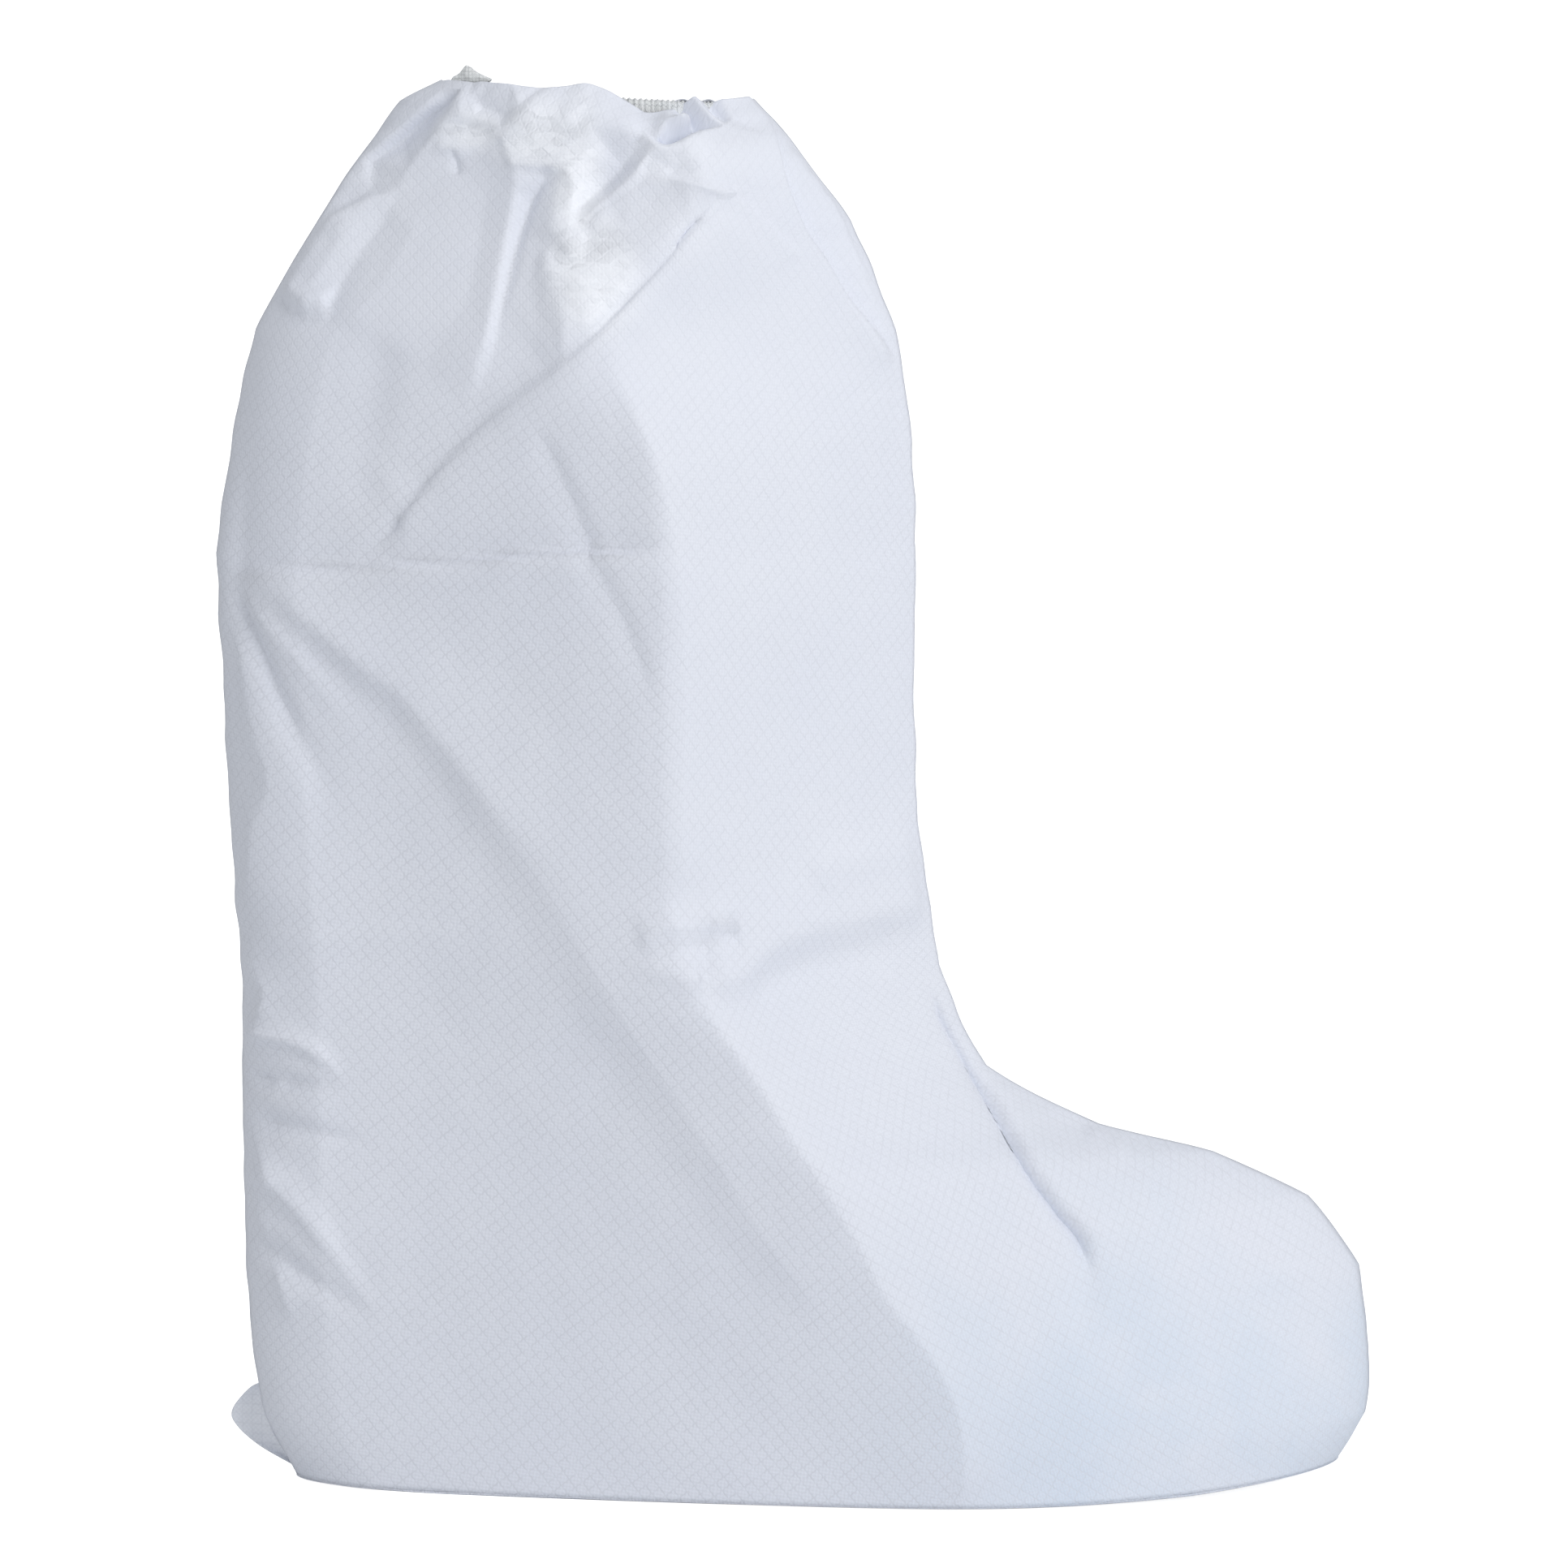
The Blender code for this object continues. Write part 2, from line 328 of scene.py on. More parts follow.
laminate = {
    "colour": (0.792, 0.821, 0.904, 1.0),
    "paleTone": (0.812, 0.838, 0.911, 1.0),
    # the creased film's own paler tone, lifted further as painted sheen where it catches the light
    "filmColourAndSheen": (0.922, 0.946, 1.000, 1.0),
    "toeColour": (0.711, 0.785, 0.898, 1.0),
    "toeStart": (-0.02, 0.10),  # the cooler cast comes in along the foot, in metres
    "toeTop": (0.045, 0.150),  # and fades between these heights
    # colour of the emboss lines, also used for the painted shade in the emboss hollows
    "lineAndShadeColour": (0.690, 0.712, 0.780, 1.0),
    "lineAndShadeStrength": 0.80,
    "lineTop": (0.33, 0.39, 0.35),  # the lines fade between these heights, down to this share
    "lineUnderFilm": 0.3,  # share of them that shows through the film
    "frontShare": 0.65,  # how strong they are ahead of the ridge
    "pitch": 3.22 * mm,
    "wander": 0.8 * mm,
    "embossDepth": 0.08 * mm,
    "toneScale": 16.0,
    "rough": (0.5, 0.08),  # plain cloth, and how much the tone adds
    "filmShine": 0.16,  # how much smoother the film is
    "specular": 0.35,
    "sheen": 0.05,
}


def maskNode(tree, name):
    return addNode(tree, "ShaderNodeAttribute", attribute_name=name).outputs["Fac"]


def wovenParts(tree, shader, settings):
    # what the cloths and the elastic share: places, emboss lines with their painted hollow shade, tone,
    # colour, roughness and bumps
    where = addNode(tree, "ShaderNodeTexCoord").outputs["Object"]
    cut = addNode(tree, "ShaderNodeUVMap", uv_map="cut").outputs["UV"]
    lines = {"Vector": cut, "Pitch": settings["pitch"], "Wander": settings["wander"]}
    weave = placeGroup(tree, emboss, lines)
    drift = placeGroup(tree, tone, {"Vector": where, "Scale": settings["toneScale"]})["Tone"]
    plain = mixColour(tree, drift, settings["colour"], settings["paleTone"])
    plainRough, more = settings["rough"]
    rough = mathNode(tree, "MULTIPLY_ADD", drift, more, plainRough)
    bumps = addNode(tree, "ShaderNodeBump", {"Height": weave["Height"], "Distance": settings["embossDepth"]})
    shader.inputs["Specular IOR Level"].default_value = settings["specular"]
    return where, weave["Line"], drift, plain, rough, bumps.outputs["Normal"]


def clothMaterial(name, settings):
    material, tree, shader = newMaterial(name)
    where, embossedLinesAndShade, drift, plain, rough, bumps = wovenParts(tree, shader, settings)
    film = maskNode(tree, "film")
    axes = addNode(tree, "ShaderNodeSeparateXYZ", {0: where}).outputs
    foot = rangeNode(tree, axes["X"], *settings["toeStart"], 0.0, 1.0)
    below = rangeNode(tree, axes["Z"], *settings["toeTop"], 1.0, 0.0)
    cool = mathNode(tree, "MULTIPLY", mathNode(tree, "MULTIPLY", foot, below), drift)
    cooled = mixColour(tree, cool, plain, settings["toeColour"])
    # the film's paler colour, partly its own and partly painted sheen
    filmAndPaintedSheen = mixColour(tree, film, cooled, settings["filmColourAndSheen"])
    strength = settings["lineAndShadeStrength"]
    covered = strength * (settings["lineUnderFilm"] - 1)
    plainShare = mathNode(tree, "MULTIPLY_ADD", film, covered, strength)
    low, high, faint = settings["lineTop"]
    fading = rangeNode(tree, axes["Z"], low, high, 1.0, faint)
    ahead = rangeNode(tree, maskNode(tree, "front"), 0.0, 1.0, 1.0, settings["frontShare"])
    shown = mathNode(tree, "MULTIPLY", mathNode(tree, "MULTIPLY", fading, ahead), plainShare)
    # the emboss lines and the painted shade in the emboss hollows darken the colour
    line = mathNode(tree, "MULTIPLY", embossedLinesAndShade, shown)
    tree.links.new(mixColour(tree, line, filmAndPaintedSheen, settings["lineAndShadeColour"]), shader.inputs["Base Color"])
    smoother = mathNode(tree, "MULTIPLY_ADD", film, -settings["filmShine"], rough)
    tree.links.new(smoother, shader.inputs["Roughness"])
    creased = placeGroup(tree, crinkle, {"Vector": where, "Film": film, "Normal": bumps})
    tree.links.new(creased["Normal"], shader.inputs["Normal"])
    shader.inputs["Sheen Weight"].default_value = settings["sheen"]
    return material


laminateCloth = clothMaterial("laminateCloth", laminate)
print("laminate ready")

# Form of the cover, from the sole's edge up to the collar. Places are percent of the length from its
# middle, percent of the height, and percent of the ball's half width; apex is where the side stands
# out furthest, from the back seam (0) to the front seam (1); round goes from a tent (0) to an ellipse (1)
coverForm = {
    "columns": ("backX", "backZ", "frontX", "frontZ", "depth", "apex", "backRound", "frontRound", "rows"),
    "sections": [
        (-43.6, 0.2, 47.4, 0.2, 98, 0.626, 0.55, 0.90, 8),  # sole edge
        (-46.3, 4.4, 49.8, 4.7, 100, 0.620, 0.40, 0.80, 8),  # low wall
        (-47.3, 9.0, 50.0, 9.5, 100, 0.600, 0.28, 0.65, 9),  # toe wall
        (-47.8, 14.5, 49.0, 15.4, 97, 0.566, 0.20, 0.48, 10),  # toe brow
        (-47.9, 18.9, 44.6, 20.4, 94, 0.562, 0.16, 0.34, 11),  # toe top
        (-48.0, 22.9, 36.2, 23.6, 92, 0.592, 0.15, 0.24, 13),  # vamp
        (-48.1, 27.7, 26.3, 25.6, 90, 0.629, 0.15, 0.18, 14),  # instep
        (-48.0, 33.5, 16.5, 29.8, 88, 0.676, 0.15, 0.14, 13),  # bend
        (-48.3, 39.6, 12.5, 37.0, 87, 0.622, 0.15, 0.10, 12),  # ankle
        (-49.0, 47.6, 10.6, 47.4, 87, 0.626, 0.16, 0.08, 12),  # low shaft
        (-49.5, 57.7, 10.2, 57.7, 90, 0.636, 0.16, 0.08, 11),  # mid shaft
        (-50.0, 66.5, 10.4, 66.5, 93, 0.630, 0.16, 0.08, 14),  # calf
        (-48.5, 74.9, 10.0, 74.5, 92, 0.605, 0.18, 0.10, 17),  # high shaft
        (-46.5, 82.4, 8.6, 82.4, 84, 0.548, 0.17, 0.16, 24),  # shoulder
        (-41.1, 90.1, 4.7, 90.1, 70, 0.675, 0.12, 0.30, 24),  # slope
        (-36.8, 95.4, 0.3, 95.0, 58, 0.760, 0.32, 0.60, 18),  # gather
        (-33.9, 98.5, -2.0, 97.3, 47, 0.600, 0.80, 0.92, 10),  # neck
        (-30.4, 100.0, -3.6, 98.7, 40, 0.500, 1.00, 1.00, 0),  # collar
    ],
    "stiffness": 0.6,  # how far the seams run straight from section to section
    "toeSpring": 6 * mm,
    "springStart": 0.66,  # the ball, from heel to toe
    "crest": 6 * mm,  # rounding of the ridge between the flat back and front of each side
    "backEdge": (14.5 * mm, 26 * mm, 60 * mm),  # rise, radius and reach of the rounded edge along the back
    "edgeTop": (14.6, 12.4),  # it dies away between these sections
    "heelEdge": (0.32, (2.0, 4.0), (10.0, 8.0)),  # how much more it turns at the heel, and in which sections
    # how much the flat back bows, and in which sections
    "backBows": [(0.28, (9.5, 11.0), (14.2, 13.0)), (0.16, (-1.0, 0.0), (11.0, 9.5))],
    "wall": 0.5 * mm,
}

formTable = np.array(coverForm["sections"], float)
columnAt = {name: index for index, name in enumerate(coverForm["columns"])}
topSection = len(formTable) - 1


def throughPoints(table, place):
    # smooth curve through the table's rows, read at places counted in rows
    last = len(table) - 1
    row = np.clip(np.floor(place).astype(int), 0, last - 1)
    t = (place - row)[:, None]
    before, start, end, after = (table[np.clip(row + step, 0, last)] for step in (-1, 0, 1, 2))
    bend = 2 * before - 5 * start + 4 * end - after
    return start + 0.5 * t * (end - before + t * (bend + t * (3 * (start - end) + after - before)))


def straightRows(table, place):
    row = np.clip(np.floor(place).astype(int), 0, len(table) - 2)
    t = (place - row)[:, None]
    return table[row] * (1 - t) + table[row + 1] * t


def blend(first, second, share):
    return first + (second - first) * share


def smoothStep(value, low=0.0, high=1.0):
    t = np.clip((value - low) / (high - low), 0, 1)
    return t * t * (3 - 2 * t)


def inSections(place, share, rising, falling):
    return share * smoothStep(place, *rising) * smoothStep(place, *falling)


def sideShape(place, share, side):
    # place counts sections up from the sole, share runs from the back seam to the front seam
    row = throughPoints(formTable, place)
    backX, backZ, frontX, frontZ, depth, apex, backRound, frontRound, _ = row.T
    ahead = share > apex
    fromApex = np.clip(np.where(ahead, (share - apex) / (1 - apex), (apex - share) / apex), 0, 1)
    cornerBackX, cornerBackZ, cornerFrontX, cornerFrontZ = (straightRows(formTable, place) - row)[:, :4].T
    stiff = coverForm["stiffness"] * fromApex**4
    x = blend(backX, frontX, share) + stiff * np.where(ahead, cornerFrontX, cornerBackX)
    z = blend(backZ, frontZ, share) + stiff * np.where(ahead, cornerFrontZ, cornerBackZ)
    lift = np.clip((share - coverForm["springStart"]) / (1 - coverForm["springStart"]), 0, 1) ** 2
    spring = coverForm["toeSpring"] * lift * np.clip(1 - place, 0, 1)
    roundness = np.clip(np.where(ahead, frontRound, backRound), 0, 1)
    run = np.where(ahead, 1 - apex, apex) * (frontX - backX) / 100 * coverLength
    crest = coverForm["crest"] / run
    bow = sum(inSections(place, *part) for part in coverForm["backBows"])
    bowed = fromApex ** (1 + np.where(ahead, 0, bow))
    tent = 1 - (np.hypot(bowed, crest) - crest) / (np.hypot(1, crest) - crest)
    out = depth / 100 * ballHalf * blend(tent, np.sqrt(1 - fromApex**2), roundness)
    rise, radius, reach = coverForm["backEdge"]
    rise = rise * (1 + inSections(place, *coverForm["heelEdge"])) * smoothStep(place, *coverForm["edgeTop"])
    gap = (1 - fromApex) * run / radius
    turned = np.sqrt(1 - np.clip(1 - gap, 0, 1) ** 2) * np.exp(-np.clip(gap - 1, 0, None) * radius / reach)
    out += np.where(ahead, 0, rise * (1 - roundness) * fromApex * turned)
    return np.stack([x / 100 * coverLength, side * out, z / 100 * coverHeight + spring], axis=-1)


# Folds lie on a side panel at (x, z) millimetres: kind, rise, width on the left and on the right of the
# way, points. "soft" is a rounded swell, "tent" has flat flanks, "ridge" hollow ones, "cone" runs out to a
# point, "fan" opens from a point, "press" is a thin line and "lap" lays its right over its left
packingLine = [(-190, 296), (-168, 298), (-142, 300), (-122, 302), (-100, 304), (-84, 306), (-65, 307),
               (-50, 307), (-36, 307)]
tuckLine = [(95, 72), (92, 84), (84, 94), (77, 103), (70, 114), (63, 126), (56, 137), (50, 148), (42, 163)]

nearFolds = [
    # the ridge's crest, from below the lap down to the sole
    ("ridge", 2.0, 9, 13, [(-58, 366), (-44, 334), (-38, 300), (-36, 262), (-37, 222), (-36, 190)]),
    ("ridge", 2.4, 12, 11, [(-38, 186), (-28, 161), (-20, 148), (-10, 133), (-2, 120), (9, 103), (20, 85),
                            (29, 68), (37, 58), (47, 43), (53, 24), (54, -12)]),
    # long diagonal lap below the collar, the shade above it and its beak
    ("lap", 1.4, 4, 20, [(-140, 304), (-129, 312), (-126, 316), (-113, 333), (-99, 347), (-87, 357),
                         (-74, 367), (-64, 375), (-53, 386), (-46, 393)]),
    ("lap", 0.9, 4, 20, [(-60, 379), (-53, 386), (-41, 398), (-33, 408), (-25, 419)]),
    ("soft", -1.4, 13, 6, [(-128, 322), (-110, 342), (-92, 360), (-74, 372)]),
    ("cone", -1.4, 4, 3, [(-126, 315), (-134, 308), (-143, 301)]),
    # pressed crease from packing, and the faint one below it
    ("lap", 3.0, 3.5, 9, packingLine),
    ("tent", -3.0, 44, 50, [(-206, 296), *packingLine[1:-1], (-34, 307)]),
    ("lap", 0.7, 2.5, 5, [(-176, 181), (-140, 184), (-106, 186)]),
    # narrow trough beside the main ridge
    ("tent", -1.2, 4, 7, [(-82, 348), (-79, 340), (-73, 327), (-68, 314), (-62, 299), (-56, 288), (-51, 276),
                          (-45, 260)]),
    # fan of folds from the crease's back end, and the long valley that goes on from it
    ("fan", -3.4, 9, 8, [(-186, 297), (-175, 277), (-167, 259), (-157, 241), (-143, 218)]),
    ("fan", 1.8, 8, 8, [(-186, 297), (-166, 277), (-148, 257), (-132, 237)]),
    ("fan", 3.9, 46, 15, [(-187, 299), (-170, 292), (-153, 280), (-137, 268), (-125, 260), (-110, 243),
                          (-99, 231), (-89, 219), (-78, 208), (-58, 184)]),
    ("tent", 2.0, 40, 13, [(-114, 248), (-108, 240), (-85, 208), (-65, 176), (-46, 145), (-28, 118),
                           (-12, 92), (12, 58)]),
    ("tent", 2.0, 16, 7, [(-181, 284), (-174, 250), (-168, 230), (-173, 216), (-175, 200), (-178, 184)]),
    # pinch at the ankle and the bulge over the instep
    ("ridge", 2.2, 3, 3, [(-51, 182), (-41, 188), (-37, 187), (-24, 188), (-19, 184)]),
    ("cone", -2.4, 4, 4, [(-19, 185), (-31, 182), (-46, 179)]),
    ("tent", 3.8, 8, 22, [(50, 190), (30, 187), (15, 185), (-1, 182), (-11, 178), (-18, 171), (-28, 169),
                          (-34, 170)]),
    ("soft", -1.3, 6, 5, [(36, 176), (12, 174), (-6, 169), (-18, 162)]),
    ("ridge", 2.0, 6, 7, [(2, 199), (10, 203), (22, 205), (33, 206), (48, 204)]),
    ("cone", 2.2, 6, 8, [(-31, 170), (-40, 172), (-56, 176)]),
    # tuck over the instep and the trough that goes on from it
    ("lap", 1.2, 2.6, 11, tuckLine),
    ("press", -3.2, 0.9, 0.9, tuckLine),
    ("soft", -1.1, 5, 5, [(84, 98), (91, 84), (93, 70), (93, 58)]),
    ("soft", 0.8, 4, 4, [(94, 116), (100, 113), (106, 108)]),
    # folds at the heel's edge, each running out to a point
    ("ridge", 2.8, 6, 4, [(-182, 180), (-176, 168), (-170, 163), (-172, 152)]),
    ("cone", 8.5, 12, 6.5, [(-188, 145), (-172, 148), (-160, 146), (-152, 141), (-145, 134)]),
    ("cone", -6.5, 9, 6, [(-188, 134), (-168, 133), (-145, 132)]),
    ("cone", -5.0, 9, 6, [(-188, 120), (-162, 118), (-136, 114)]),
    ("cone", 4.8, 10, 8, [(-186, 108), (-166, 98), (-152, 82), (-134, 56)]),
    ("cone", -6.4, 10, 6, [(-186, 84), (-172, 78), (-158, 69), (-134, 56)]),
    ("ridge", 2.0, 5, 3, [(-180, 108), (-173, 87), (-168, 75), (-162, 54)]),
    ("ridge", 2.0, 6, 4, [(-177, 36), (-174, 26), (-170, 14), (-162, 0)]),
    ("ridge", 1.4, 2.5, 2, [(-178, 140), (-172, 136), (-166, 130)]),
    ("ridge", 1.2, 2.5, 2, [(-178, 116), (-172, 108), (-167, 99)]),
    ("ridge", 1.2, 2, 2, [(-176, 98), (-173, 88), (-171, 78)]),
    # below the tube, and thin lines in the crumpled cloth
    ("soft", -1.0, 8, 8, [(-131, 374), (-134, 356), (-137, 335), (-138, 318)]),
    ("press", -1.0, 0.9, 0.9, [(-30, 412), (-34, 408), (-38, 403)]),
    ("press", -1.2, 0.8, 0.8, [(-109, 433), (-108, 429), (-107, 424)]),
    ("ridge", 1.1, 1.8, 1.8, [(-66, 411), (-58, 415), (-49, 420), (-41, 423), (-33, 422), (-24, 419)]),
    # the two lines down the front of the shaft, and the nick where they end
    ("lap", 2.5, 4, 8, [(-10, 446), (-7, 433), (-3, 421), (3, 407), (9, 398), (16, 386), (25, 374),
                        (36, 358)]),
    ("lap", 0.9, 3, 6, [(-24, 424), (-18, 418), (-8, 408), (2, 398)]),
    ("ridge", 2.0, 4, 5, [(-2, 441), (5, 428), (13, 413), (20, 397), (27, 381), (35, 362)]),
    ("press", -1.0, 1.4, 1.4, [(34, 363), (33, 355), (32, 344)]),
    # wrap under the toe
    ("press", -0.7, 1.8, 1.8, [(176, 50), (180, 34), (184, 16)]),
]

# Crumpled cloth under the collar, as flat facets between creases: each crease is a row of (x, z, rise) in
# millimetres, and the cloth runs straight from one to the next
collarCreases = [
    # edge of the crumpled part, where it lies flat
    [(-196, 372, 0), (-160, 373, 0), (-140, 374, 0), (-118, 364, 0), (-104, 352, 0)],
    [(-104, 352, 0), (-104, 346, 0), (-87, 357, -0.4), (-74, 367, -0.6), (-64, 375, 0), (-53, 386, -1.0),
     (-41, 399, -1.4), (-33, 410, -1.0), (-25, 423, 0.4), (-14, 424, 0), (10, 424, 0), (30, 440, 0)],
    [(-100, 342, 0), (-83, 353, 0), (-70, 363, 0), (-60, 371, 0), (-49, 382, 0), (-37, 395, 0),
     (-29, 406, 0), (-21, 418, 0), (-12, 422, 0), (10, 422, 0), (32, 438, 0)],
    [(-196, 372, 0), (-190, 420, 0), (-150, 460, 0), (-112, 475, 0), (-60, 475, 0), (0, 475, 0),
     (30, 440, 0)],
    # outer ridge at the back and the dark pocket inside it
    [(-139, 434, 0.6), (-130, 441, 1.0), (-121, 449, 1.2), (-112, 456, 1.2), (-102, 460, 0.8)],
    [(-135.6, 434, -2.2), (-126.5, 440.5, -3.4), (-117.5, 448.5, -3.4), (-109.7, 455, -1.6)],
    [(-126, 424, 2.2), (-123, 431, 2.4), (-119, 437, 2.8), (-112, 447, 2.8), (-106, 456, 2.0)],
    # upper fold of the tube, laid over the cloth above it
    [(-152, 410, 2.2), (-143, 415, 3.2), (-135, 419.5, 3.0), (-130, 421, 2.4)],
    [(-151, 414, -0.4), (-143, 418.5, -0.8), (-136, 423, -0.8), (-131.5, 425.5, 0.2)],
    # tube, the valley beside it and its rounded end
    [(-138, 414, 2.0), (-147, 400, 2.0), (-154, 388, 2.6)],
    [(-129, 416.5, 0.8), (-132, 412, -0.4), (-138, 403, -0.9), (-145, 391, -1.1), (-148.6, 383, -1.0)],
    [(-162, 397, 3.0), (-161.8, 389, 3.8), (-159.6, 384.8, 4.4), (-155.5, 383, 4.4), (-151, 384.4, 3.0)],
    [(-169, 394, 0), (-166.5, 385, 0), (-161.5, 380.6, -0.2), (-155, 378.8, -0.4), (-149, 378.6, -0.6)],
    [(-118, 420, 1.6), (-122, 408, 1.6), (-130, 392, 1.2), (-140, 380, 0.6)],
    # bright puff below the back of the collar
    [(-114, 442, 3.0), (-112, 438.5, 3.6), (-108, 437.2, 3.8), (-104, 439.5, 3.6), (-97, 441.5, 3.8)],
    [(-115, 436, 2.6), (-108, 434, 2.0), (-103, 436, 2.2), (-98, 437.4, 3.0)],
    # left and lower edge of the creased film, which lies over the cloth
    [(-78, 457, 2.6), (-84, 452, 4.8), (-92, 443.5, 5.6), (-90.5, 438, 5.9), (-88.5, 432.6, 5.9),
     (-80, 433, 5.2), (-71, 430.5, 4.4)],
    [(-81, 457, 2.0), (-87, 452, 3.5), (-95, 443.5, 4.2), (-93, 437, 4.1), (-90.5, 431, 4.0)],
    [(-106, 450, 3.8), (-101, 448.8, 2.8), (-93, 446.6, 3.6)],
    [(-104, 446, 1.8), (-97, 444.6, 2.8)],
    [(-103, 455, 1.2), (-99.5, 451.6, 0.0), (-92, 449.2, 0.8)],
    [(-98, 459.4, 2.4), (-89.5, 457.4, 3.4), (-88, 454, 3.6)],
    # wedge that faces the light, its crest and its foot
    [(-88, 431, 4.6), (-88.5, 424, 3.2), (-91, 410, 2.6), (-94.5, 390, 2.4), (-98, 374, 2.0),
     (-101, 366, 1.6), (-105, 357, 0.3)],
    [(-79, 429.5, 0.4), (-84, 421, -1.4), (-87.5, 410, -1.6), (-91, 395, -1.4), (-94.8, 376, -0.8),
     (-98, 366, -0.5), (-102, 357, -0.2)],
    [(-81.5, 420, 0.8), (-84.5, 409, 0.6), (-87.5, 394, 0.2)],
    [(-82, 402, 1.0), (-83, 392, 0.7), (-81.5, 382, 0.3)],
    [(-97, 430, 2.4), (-98, 422, 1.4), (-100, 408, 0.9), (-103, 388, 0.8)],
    # film beside the wedge: its left edge, its lower edge and the dark cloth below
    [(-74.5, 427.5, 2.4), (-76, 418, 3.0), (-76.6, 409, 3.6), (-71.2, 401.4, 4.0), (-67.8, 402.4, 3.0),
     (-67.6, 410, 2.2), (-69, 416.5, 2.0)],
    [(-77.8, 404.6, 1.8), (-72.6, 398, 2.2), (-67.4, 398.6, 2.0), (-65.6, 403, 1.2), (-65.8, 409, 0.9)],
    [(-74, 394.6, 3.2), (-78.6, 397.4, 3.2), (-77, 391, 3.0), (-75.5, 386, 2.8), (-73, 378.8, 2.4),
     (-66, 378.2, 1.6)],
    [(-77, 375.5, 0.2), (-84, 370, -1.2), (-90, 364, -1.0)],
    [(-70, 424, 3.0), (-71, 415, 3.4), (-71.6, 406, 4.0)],
    [(-74, 394.6, 3.2), (-69, 392, 3.0), (-66, 389, 2.8), (-60, 387, 1.4)],
    # valley down the middle and the crest on its right
    [(-48, 443.6, 0.2), (-55, 433, -1.6), (-62, 425, -1.2), (-67.5, 419, 0.8)],
    [(-44, 440, 3.6), (-50, 430, 4.2), (-58, 421.5, 4.0), (-65.5, 414.6, 2.8)],
    [(-66, 437, 3.4), (-64, 446, 2.4), (-64, 457, 0.8)],
    # pocket under the elastic, with its lower rim
    [(-44, 440, 3.6), (-41, 439.4, 3.6), (-36, 441, 3.4), (-30, 443.4, 3.0), (-24, 445, 2.2)],
    [(-45.2, 442.2, -0.4), (-42, 442, -5.0), (-37, 443.2, -8.0), (-32, 445.4, -5.6)],
    [(-50, 446.6, 1.6), (-46, 446, 2.4), (-41, 445.4, 5.4), (-37, 445.8, 7.4), (-34.5, 446.8, 4.6)],
    [(-50, 449, 1.4), (-42, 449.6, 1.6), (-38.5, 449, 0.6)],
    # grey facet on the right: its upper edge, its left edge and where the creased film meets it
    [(-46, 436.6, 2.6), (-47.5, 429, 2.6), (-40, 428.8, 2.0)],
    [(-40, 428.8, 2.0), (-34, 427.4, 2.6), (-24, 423.6, 2.4)],
    [(-38, 431, 0.8), (-30, 430, 1.0)],
    [(-40, 428.8, 2.0), (-50, 424, 1.6), (-58, 419.5, 1.4), (-65, 413.8, 1.6)],
    [(-64, 413, 2.8), (-55, 410, 1.4), (-49.5, 405, 0.3), (-47.5, 398, -1.0)],
    # lobes of cloth gathered at the right of the elastic
    [(-38, 454, -3.6), (-33, 448, -4.4), (-28, 444.8, -2.8)],
    [(-33, 454, 2.6), (-29, 449, 2.8), (-25, 446, 2.4)],
    [(-27.5, 454, -3.2), (-25, 450, -3.0), (-22.5, 447.4, -1.0)],
    [(-24.5, 454, 1.2), (-21, 448, 1.0)],
    [(-16.5, 455, 2.6), (-13, 448, 2.6), (-10, 441, 1.6)],
]

farPacking = [(-142, 300), (-100, 304), (-50, 307), (30, 306)]

farFolds = [
    ("tent", 3.6, 30, 12, [(-32, 176), (-17, 148), (0, 120), (24, 84), (44, 50), (53, 24), (54, -12)]),
    ("lap", 2.2, 22, 9, [(-20, 414), (-44, 386), (-70, 364), (-100, 338), (-128, 312)]),
    ("soft", -1.8, 12, 12, [(-60, 398), (-88, 376), (-112, 352)]),
    ("press", -0.8, 1.3, 1.3, [(-190, 296), *farPacking]),
    ("tent", 1.2, 18, 8, [(-194, 296), *farPacking]),
    ("press", -0.35, 1.2, 1.2, [(-176, 181), (-140, 184), (-90, 186)]),
    ("fan", 3.4, 42, 15, [(-187, 298), (-152, 268), (-120, 238), (-70, 188)]),
    ("fan", -2.8, 8, 8, [(-186, 297), (-172, 268), (-152, 232)]),
    ("tent", -1.4, 6, 8, [(-80, 356), (-66, 318), (-54, 284), (-46, 256)]),
    ("ridge", 2.8, 8, 24, [(46, 189), (14, 184), (-10, 177), (-32, 168)]),
    ("soft", 1.4, 7, 7, [(-4, 198), (16, 204), (40, 204)]),
    ("lap", 1.6, 12, 6, [(50, 146), (70, 116), (92, 86)]),
    ("cone", 3.4, 11, 8, [(-186, 144), (-166, 141), (-142, 128)]),
    ("cone", -2.4, 8, 8, [(-186, 122), (-162, 120), (-138, 116)]),
    ("cone", -3.0, 9, 8, [(-184, 88), (-162, 76), (-134, 58)]),
    ("cone", 2.4, 9, 9, [(-184, 110), (-160, 94), (-138, 74)]),
    ("tent", 3.6, 16, 10, [(-110, 449), (-126, 430), (-142, 406), (-155, 380)]),
    ("tent", 3.4, 8, 18, [(-87, 448), (-92, 416), (-98, 388), (-108, 354)]),
    ("tent", -2.6, 9, 9, [(-77, 446), (-80, 414), (-86, 380)]),
    ("tent", 3.2, 12, 8, [(-62, 450), (-66, 420), (-75, 390)]),
    ("tent", -3.6, 8, 10, [(-45, 451), (-54, 428), (-68, 404)]),
    ("ridge", 2.4, 6, 8, [(-32, 450), (-42, 428), (-60, 410)]),
    ("ridge", 1.2, 6, 5, [(-11, 450), (2, 412), (18, 384), (36, 358)]),
]

